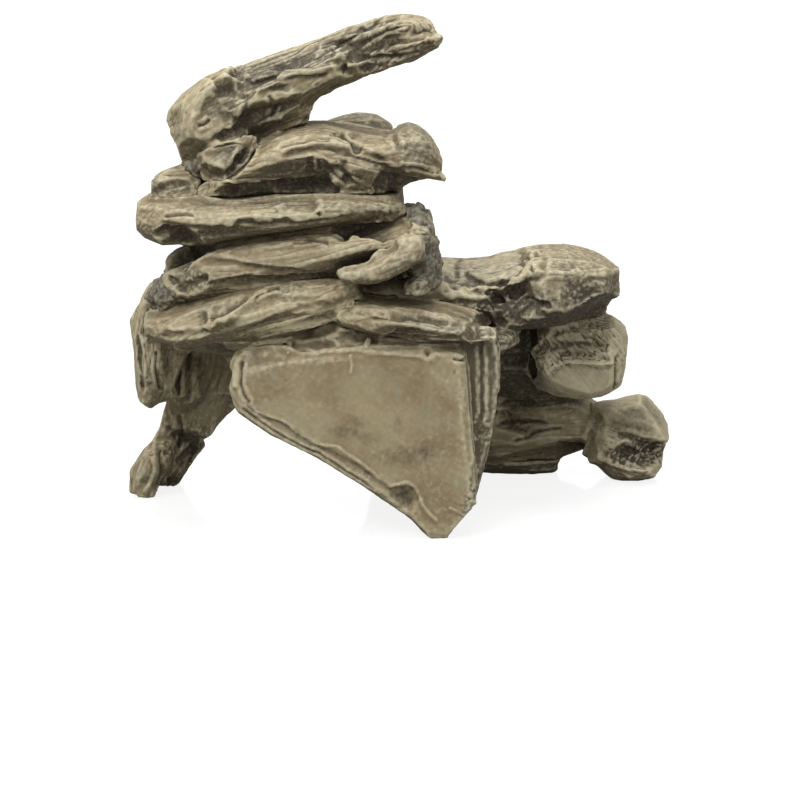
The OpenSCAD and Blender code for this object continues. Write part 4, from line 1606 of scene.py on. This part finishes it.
@dataclass
class StandingSlabs:
    """The upright slabs that hold the roof, and the shoulder stone. Lengths are in millimetres."""

    slab_facet: float = 14.0
    leg_fluting: float = 0.3
    shoulder_fluting: float = 0.4
    shoulder_layer: float = 5.0

    def build(self, shop: Workshop) -> None:
        """Carves the slabs.

        Args:
            shop: The surroundings and the finishes.
        """
        for stone in (self._front_slab(), self._backing_slab(), self._rear_slab(), self._left_leg(),
                      self._shoulder()):
            shop.finish(stone)

    def _front_slab(self) -> Stone:
        """The smooth triangular slab, with a raised broken rim and a chipped tip."""
        return Stone(
            "front_slab", Relief(heading=-30, lumps=0.35, crests=0.06, strata=0.0, flutes=0.05, pits=0.12,
                                 skin=0.1, facet=self.slab_facet, chips=0, seed=41),
            tone=0.02,
            lumps=(Lump((.07, .86, .9), (7, 4, 6), 15), Lump((.18, .86, .93), (12, 3.5, 5), 4)),
            chops=(Chop((.86, .5, .03), (-.9, 0, -.43), 10), Chop((.935, .5, .1), (.76, 0, -.66), 15)),
            strokes=(
                Stroke(LIP, ((.03, .76), (.08, .71), (.14, .66), (.24, .6), (.32, .53), (.42, .46),
                       (.52, .39), (.62, .3), (.7, .22)), 0.8, 1.9, 3),
                Stroke(RIDGE, ((.06, .74), (.11, .68), (.18, .635), (.23, .61), (.29, .55), (.36, .5),
                       (.44, .48), (.53, .4), (.63, .28)), 0.45, 1.2),
                Stroke(GROOVE, ((.04, .7), (.12, .62), (.2, .55), (.3, .48), (.36, .45), (.42, .4),
                       (.5, .33), (.6, .25)), 0.8, 1.1),
                Stroke(RIDGE, ((.955, .93), (.965, .8), (.975, .7), (.97, .6), (.975, .5), (.98, .42),
                       (.965, .36)), 0.7, 1.6),
                Stroke(RIDGE, ((.3, .955), (.4, .975), (.48, .985), (.6, .975), (.7, .965), (.77, .96),
                       (.8, .945), (.83, .965), (.94, .96)), 0.45, 1.6),
                Stroke(GROOVE, ((.79, .985), (.8, .965), (.815, .985)), 1.6, 2.0),
                Stroke(GROOVE, ((.9, .945), (.93, .935), (.955, .93)), 0.9, 1.2),
                Stroke(RIDGE, ((.63, .265), (.68, .29), (.72, .295), (.75, .27), (.77, .21), (.8, .14),
                       (.85, .09)), 0.5, 1.2),
                Stroke(RIDGE, ((.88, .17), (.93, .14), (.96, .12)), 0.4, 1.0),
                Stroke(RIDGE, ((.045, .95), (.03, .85), (.03, .78)), 1.0, 1.6),
                Stroke(GROOVE, ((.06, .93), (.05, .85), (.06, .78), (.09, .7)), 0.9, 1.4),
                Stroke(RIDGE, ((.49, .97), (.495, .92), (.49, .86)), 0.3, 1.2),
            ),
            patches=(
                Patch(Spot.HOLLOW, (.7, .21), (7, 6), 2.2),
                Patch(Spot.STAIN_AND_SHADE, (.7, .21), (6, 5), 0.25),
                Patch(Spot.GRIT, (.985, .2), (4, 9), 0.9),
                Patch(Spot.STAIN_AND_SHADE, (.985, .2), (3, 8), 0.3),
                Patch(Spot.STAIN_AND_SHADE, (.465, .56), (6, 3), 0.35, -20),
                Patch(Spot.STAIN_AND_SHADE, (.52, .61), (4, 4), 0.22),
                Patch(Spot.STAIN_AND_SHADE, (.56, .53), (5, 3), 0.3),
                Patch(Spot.STAIN_AND_SHADE, (.72, .44), (12, 4), 0.35),
                Patch(Spot.STAIN_AND_SHADE, (.81, .48), (5, 4), 0.28),
                Patch(Spot.GRIT, (.1, .66), (8, 3), 0.2, -35),
                Patch(Spot.GRIT, (.3, .5), (9, 2.5), 0.2, -35),
                Patch(Spot.GRIT, (.52, .33), (9, 2.5), 0.22, -35),
                Patch(Spot.STAIN_AND_SHADE, (.68, .6), (2, 3), 0.2),
                # The faint stain in the top left corner is painted shadow from the roof.
                Patch(Spot.STAIN_AND_SHADE, (.12, .94), (14, 6), 0.08),
                Patch(Spot.CALM, (.55, .7), (40, 24), 0.8),
            ),
        )

    def _backing_slab(self) -> Stone:
        """The darker slab behind it, of which the right edge shows."""
        return Stone(
            "backing_slab", Relief(heading=88, lumps=0.5, crests=0.3, chips=7, seed=42),
            tone=-0.42,
            strokes=(
                Stroke(RIDGE, ((.93, .96), (.97, .88), (.98, .75), (.975, .62), (.96, .5), (.95, .42),
                       (.93, .33)), 1.0, 1.8),
                Stroke(GROOVE, ((.89, .93), (.9, .8), (.9, .65), (.9, .52), (.88, .42)), 0.8, 1.6),
            ),
            patches=(
                Patch(Spot.GRIT, (.9, .42), (4, 7), 0.6),
                # The long stain beside the right edge is painted shade in the gap between the slabs.
                Patch(Spot.STAIN_AND_SHADE, (.88, .6), (8, 28), 0.5),
            ),
        )

    def _rear_slab(self) -> Stone:
        """The slab that stands at the back."""
        return Stone("rear_slab", Relief(heading=84, lumps=0.7, crests=0.4, chips=4, rounding=5, seed=46))

    def _left_leg(self) -> Stone:
        """The pleated slab that kicks out to the left foot."""
        return Stone(
            "left_leg", Relief(heading=70, lumps=0.9, crests=0.5, flutes=self.leg_fluting, seed=44),
            tone=-0.05,
            shade=0.5,
            lumps=(
                Lump((.16, .18, .16), (8, 11, 15), -34, 1),
                Lump((.13, .1, .03), (7, 8, 6), 0, 1),
                Lump((.45, .2, .7), (10, 6, 14), -8, 1),
            ),
            strokes=(
                Stroke(GROOVE, ((.3, .92), (.31, .75), (.31, .6)), 1.6, 1.9),
                Stroke(RIDGE, ((.35, .92), (.355, .75), (.36, .6)), 1.2, 2.4),
                Stroke(GROOVE, ((.4, .92), (.41, .78), (.41, .62)), 1.2, 1.5),
                Stroke(RIDGE, ((.44, .92), (.45, .78), (.45, .62)), 1.2, 1.9),
                Stroke(GROOVE, ((.48, .92), (.49, .75), (.48, .6)), 1.8, 2.2),
                Stroke(RIDGE, ((.33, .5), (.36, .4), (.35, .28)), 1.1, 2.0),
                Stroke(GROOVE, ((.39, .5), (.41, .38), (.38, .26)), 1.0, 1.6),
                Stroke(RIDGE, ((.2, .32), (.22, .2), (.18, .1), (.13, .02)), 1.0, 1.7),
                Stroke(GROOVE, ((.26, .3), (.27, .18), (.24, .06)), 1.0, 1.6),
            ),
            patches=(Patch(Spot.GRIT, (.55, .26), (6, 14), 0.5),),
        )

    def _shoulder(self) -> Stone:
        """The upright rounded stone at the left end."""
        return Stone(
            "shoulder_stone", Relief(heading=86, lumps=0.9, crests=0.8, layer=self.shoulder_layer,
                                     flutes=self.shoulder_fluting, seed=45),
            tone=0.1,
            shade=0.5,
            lumps=(
                Lump((1.0, .45, .45), (8, 9, 20), -4, 2),
                Lump((.75, .4, .16), (7, 8, 9), 0, 1),
                Lump((.1, .45, .6), (4, 8, 12), 0, 1),
                Lump((.42, .4, .1), (9, 9, 8), 0, 1),
            ),
            chops=(
                Chop((.4, .1, .6), (-.2, -.96, .1), 20),
                Chop((.4, .12, .14), (-.25, -.9, -.3), 12),
                Chop((.02, .4, .4), (-.95, -.2, -.05), 20),
            ),
            strokes=(
                Stroke(GROOVE, ((.48, .84), (.44, .72), (.38, .6)), 1.6, 1.9),
                Stroke(GROOVE, ((.2, .62), (.27, .42), (.25, .25), (.3, .1)), 1.4, 1.8),
                Stroke(RIDGE, ((.35, .62), (.4, .4), (.4, .2)), 1.0, 2.0),
                Stroke(GROOVE, ((.62, .5), (.66, .3), (.7, .12)), 1.2, 1.6),
            ),
        )


@dataclass
class RightPile:
    """The short pile at the right that carries the ledge. Lengths are in millimetres."""

    front_facet: float = 7.0
    fibre_depth: float = 0.45
    fibre_pitch: float = 1.9

    def build(self, shop: Workshop) -> None:
        """Carves the pile's stones.

        Args:
            shop: The surroundings and the finishes.
        """
        for stone in (self._footing(), self._base(), self._foot(), self._mid(), self._rear_block()):
            shop.finish(stone)

    def _footing(self) -> Stone:
        """The thin dark stone on the ground."""
        return Stone("footing_stone", Relief(lumps=0.4, chips=4, seed=51), tone=-0.35)

    def _base(self) -> Stone:
        """The long low stone, dark along its top."""
        return Stone(
            "base_stone", Relief(heading=4, lumps=0.9, strata=0.6, chips=10, seed=52),
            tone=0.05,
            shade=0.25,
            strokes=(
                Stroke(RIDGE, ((.28, .64), (.45, .66), (.68, .66)), 0.8, 1.8),
                Stroke(GROOVE, ((.32, .31), (.38, .35), (.46, .4), (.54, .47), (.7, .51)), 0.6, 1.2),
                Stroke(GROOVE, ((.2, .52), (.4, .55), (.6, .57)), 0.8, 1.6),
                Stroke(GROOVE, ((.1, .78), (.35, .8), (.6, .78)), 1.0, 1.8),
                # Painted shade along the top, under the ledge.
                Stroke(WASH, ((.05, .92), (.3, .88), (.6, .86), (.9, .84)), 0.6, 6.0),
            ),
        )

    def _foot(self) -> Stone:
        """The stone at the far right: a pale wedge over a gritty mouth and a lip."""
        return Stone(
            "foot_stone", Relief(heading=-15, lumps=0.9, crests=0.5, chips=4, chip_size=6,
                                 facet=self.front_facet, seed=53),
            tone=0.12,
            shade=0.5,
            lumps=(
                Lump((.6, .28, .14), (13, 12, 5.5), -4, 1),
                Lump((.8, .35, .62), (9, 12, 6), -38, 1),
                Lump((.34, .42, .84), (12, 11, 5), 4, 1),
                Lump((.2, .3, .36), (8, 10, 7), 30, 1),
            ),
            chops=(
                Chop((.45, .42, .93), (-.1, -.12, .98)),
                Chop((.84, .42, .72), (.74, -.2, .62)),
                Chop((.53, .14, .66), (.1, -.93, .36)),
                Chop((.06, .33, .53), (-.9, -.4, .05), 14),
            ),
            strokes=(
                Stroke(GROOVE, ((.38, .62), (.52, .58), (.64, .53), (.8, .53)), 1.6, 2.0),
                Stroke(RIDGE, ((.12, .38), (.28, .28), (.48, .2), (.66, .18)), 1.4, 2.4),
            ),
            patches=(
                Patch(Spot.HOLLOW, (.66, .38), (15, 6), 7.0),
                Patch(Spot.GRIT, (.66, .36), (15, 6), 1.2),
                # The stain in the deep mouth is painted shade.
                Patch(Spot.STAIN_AND_SHADE, (.64, .38), (14, 5), 1.8),
                # The pale top facet is painted light, partly dry brush.
                Patch(Spot.PALE, (.62, .76), (10, 7), 0.4),
                Patch(Spot.CALM, (.66, .76), (11, 7), 1.0),
            ),
        )

    def _mid(self) -> Stone:
        """The stone with a scooped, fibrous face over a smooth pale band."""
        return Stone(
            "mid_stone", Relief(heading=-52, lumps=0.7, crests=0.5, flutes=self.fibre_depth,
                                pitch=self.fibre_pitch, chips=4, facet=self.front_facet, seed=54),
            tone=0.24,
            shade=0.1,
            lumps=(Lump((.1, .3, .62), (7, 9, 6), 20, 1),),
            chops=(
                Chop((.18, .2, .2), (-.62, -.5, -.6), 16),
                Chop((.55, .08, .36), (.0, -1.0, -.12), 22),
                Chop((.6, .35, .96), (.05, -.3, .95), 22),
                Chop((.95, .25, .8), (.75, -.2, .62), 12),
            ),
            strokes=(
                Stroke(LIP, ((.04, .6), (.14, .76), (.3, .88), (.5, .9), (.7, .82), (.84, .64)), 1.5, 2.0,
                       3),
                Stroke(GROOVE, ((.22, .52), (.35, .6), (.55, .6), (.8, .57)), 1.2, 1.8),
                Stroke(RIDGE, ((.16, .36), (.24, .5), (.36, .555), (.55, .55), (.72, .54), (.88, .52)),
                       1.6, 1.9),
                Stroke(RIDGE, ((.86, .84), (.93, .62), (.93, .4), (.9, .18)), 1.0, 2.4),
                Stroke(GROOVE, ((.86, .62), (.87, .4), (.85, .2)), 0.8, 1.5),
            ),
            patches=(
                Patch(Spot.HOLLOW, (.5, .71), (17, 6.5), 5.0, 6),
                # The stain in the scoop is painted shade.
                Patch(Spot.STAIN_AND_SHADE, (.42, .76), (14, 4), 0.4, 10),
                Patch(Spot.CALM, (.55, .34), (18, 8), 1.0),
                # The pale band is dry brush and painted light.
                Patch(Spot.PALE, (.55, .34), (16, 6), 0.3),
                # The stain along the left edge is painted shade.
                Patch(Spot.STAIN_AND_SHADE, (.02, .5), (5, 16), 0.8),
            ),
        )

    def _rear_block(self) -> Stone:
        """The block behind it, in its shade."""
        return Stone(
            "rear_block", Relief(heading=10, lumps=1.2, chips=9, seed=55),
            lumps=(Lump((.43, .62, .93), (12, 9, 4.5), 0, 1),),
            # The stain over the whole block is painted shade.
            patches=(Patch(Spot.STAIN_AND_SHADE, (.4, .5), (26, 26), 1.4),),
        )


@dataclass
class Rubble:
    """Resin and broken grains that fill the gaps between the stones. Lengths are in millimetres."""

    swell: float = 1.5
    pit_depth: float = 0.4
    grain_facet: float = 3.0
    first_seed: int = 61

    def build(self, shop: Workshop) -> None:
        """Carves the three fillings.

        Args:
            shop: The surroundings and the finishes.
        """
        for seed, node in enumerate(("tower_rubble", "shoulder_rubble", "crown_bedding"), self.first_seed):
            relief = Relief(lumps=self.swell, crests=0.0, strata=0.0, flutes=0.0, pits=self.pit_depth,
                            facet=self.grain_facet, chips=0, seed=seed)
            shop.finish(Stone(node, relief, grit=1.0), slot="rubble_mortar")


@dataclass
class Dowels:
    """The resin dowels inside the stones, which keep their own shape. Their names end alike."""

    ending: str = "_dowels"

    def build(self, shop: Workshop) -> None:
        """Gives each group of dowels its bare resin.

        Args:
            shop: The surroundings and the finishes.
        """
        for name, node in frame["nodes"].items():
            if name.endswith(self.ending):
                node.data.materials.clear()
                node.data.materials.append(shop.dowel)
                log.info("%s: kept as built", name)


@dataclass
class Studio:
    """A pale floor, soft lamps and the camera, in metres but for the lens and the shares.

    The camera stands so many degrees above the horizon. It aims a little beside the middle of the box, at
    a share of its height.
    """

    lens: float = 100.0
    elevation: float = 14.0
    distance: float = 0.889
    aim_aside: float = -0.001
    aim_back: float = -0.00925
    aim_height: float = 0.2204
    floor_size: float = 6.0
    floor_white: float = 0.86

    def build(self) -> None:
        """Sets the studio up."""
        self._floor()
        self._world()
        low, high = CAD_BOX
        middle = (low + high) / 2
        self._lamp("key_lamp", middle + Vector((-0.65, -0.75, 1.2)), middle, 0.7, 17.0)
        self._lamp("fill_lamp", middle + Vector((1.1, -1.0, 0.6)), middle, 0.9, 3.2)
        self._lamp("top_lamp", middle + Vector((0.05, 0.15, 1.3)), middle, 0.8, 15.0)
        self._camera(Vector((middle.x + self.aim_aside, middle.y + self.aim_back, self.aim_height * high.z)))

    def _floor(self) -> None:
        """Makes the white acrylic floor: it is white to the camera, but keeps shadow and reflection."""
        made = bmesh.new()
        bmesh.ops.create_grid(made, x_segments=1, y_segments=1, size=self.floor_size / 2)
        mesh = bpy.data.meshes.new("floor")
        made.to_mesh(mesh)
        made.free()
        floor = bpy.data.objects.new("floor", mesh)
        bpy.context.scene.collection.objects.link(floor)
        acrylic = bpy.data.materials.new("white_acrylic_sheet")
        acrylic.use_nodes = True
        tree = acrylic.node_tree
        tree.nodes.clear()
        seen = add_node(tree, "ShaderNodeLightPath").outputs["Is Camera Ray"]
        tint = add_node(tree, "ShaderNodeMix", {0: seen, 6: linear("#a0a09c"), 7: linear("#6c6c6c")},
                        data_type="RGBA").outputs[2]
        sheet = add_node(tree, "ShaderNodeBsdfPrincipled",
                         {"Base Color": tint, "Roughness": 0.08, "IOR": 1.49})
        glow = add_node(tree, "ShaderNodeMath", {0: seen, 1: self.floor_white},
                        operation="MULTIPLY").outputs[0]
        white = add_node(tree, "ShaderNodeEmission", {"Color": (1, 1, 1, 1), "Strength": glow})
        both = add_node(tree, "ShaderNodeAddShader", {0: sheet.outputs[0], 1: white.outputs[0]})
        add_node(tree, "ShaderNodeOutputMaterial", {"Surface": both.outputs[0]})
        mesh.materials.append(acrylic)

    def _world(self) -> None:
        """Lights all round softly, and is plain white to the camera."""
        world = bpy.data.worlds.new("studio")
        bpy.context.scene.world = world
        world.use_nodes = True
        tree = world.node_tree
        tree.nodes.clear()
        soft = add_node(tree, "ShaderNodeBackground", {"Color": (1, 1, 1, 1), "Strength": 0.5})
        white = add_node(tree, "ShaderNodeBackground", {"Color": (1, 1, 1, 1), "Strength": 1.0})
        seen = add_node(tree, "ShaderNodeLightPath").outputs["Is Camera Ray"]
        mixed = add_node(tree, "ShaderNodeMixShader", {0: seen, 1: soft.outputs[0], 2: white.outputs[0]})
        add_node(tree, "ShaderNodeOutputWorld", {"Surface": mixed.outputs[0]})

    def _lamp(self, name: str, place: Vector, target: Vector, size: float, power: float) -> None:
        """Hangs one square soft lamp that looks at the ornament.

        Args:
            name: The lamp's name.
            place: Where it hangs.
            target: What it looks at.
            size: Its side in metres.
            power: Its power in watts.
        """
        lamp = bpy.data.lights.new(name, "AREA")
        lamp.shape = "SQUARE"
        lamp.size = size
        lamp.energy = power
        hung = bpy.data.objects.new(name, lamp)
        hung.location = place
        hung.rotation_euler = (target - place).to_track_quat("-Z", "Y").to_euler()
        bpy.context.scene.collection.objects.link(hung)

    def _camera(self, target: Vector) -> None:
        """Sets the camera up in front, a little above the ornament.

        Args:
            target: What it looks at.
        """
        rise = math.radians(self.elevation)
        camera = bpy.data.cameras.new("camera")
        camera.lens = self.lens
        camera.sensor_width = 36.0
        stand = bpy.data.objects.new("camera", camera)
        stand.location = target + self.distance * Vector((0, -math.cos(rise), math.sin(rise)))
        stand.rotation_euler = (target - stand.location).to_track_quat("-Z", "Y").to_euler()
        bpy.context.scene.collection.objects.link(stand)
        bpy.context.scene.camera = stand
        bpy.context.scene.view_settings.view_transform = "Standard"


def main() -> None:
    """Builds the studio and every sub-assembly, in order."""
    logging.basicConfig(level=logging.INFO, format="%(name)s %(message)s")
    Studio().build()
    shop = Workshop(Surroundings(frame["nodes"]), {},
                    PaintedResin(name="rubble_resin_mortar", base="#5f5b4f", warm="#524c3e",
                                 broken="#59574f", brush_and_highlight_strength=0.4).material(),
                    BareResin().material())
    for part in (StandingSlabs(), RightPile(), Roof(), Tower(), Crown(), Rubble(), Dowels()):
        part.build(shop)


if __name__ == "__main__":
    main()
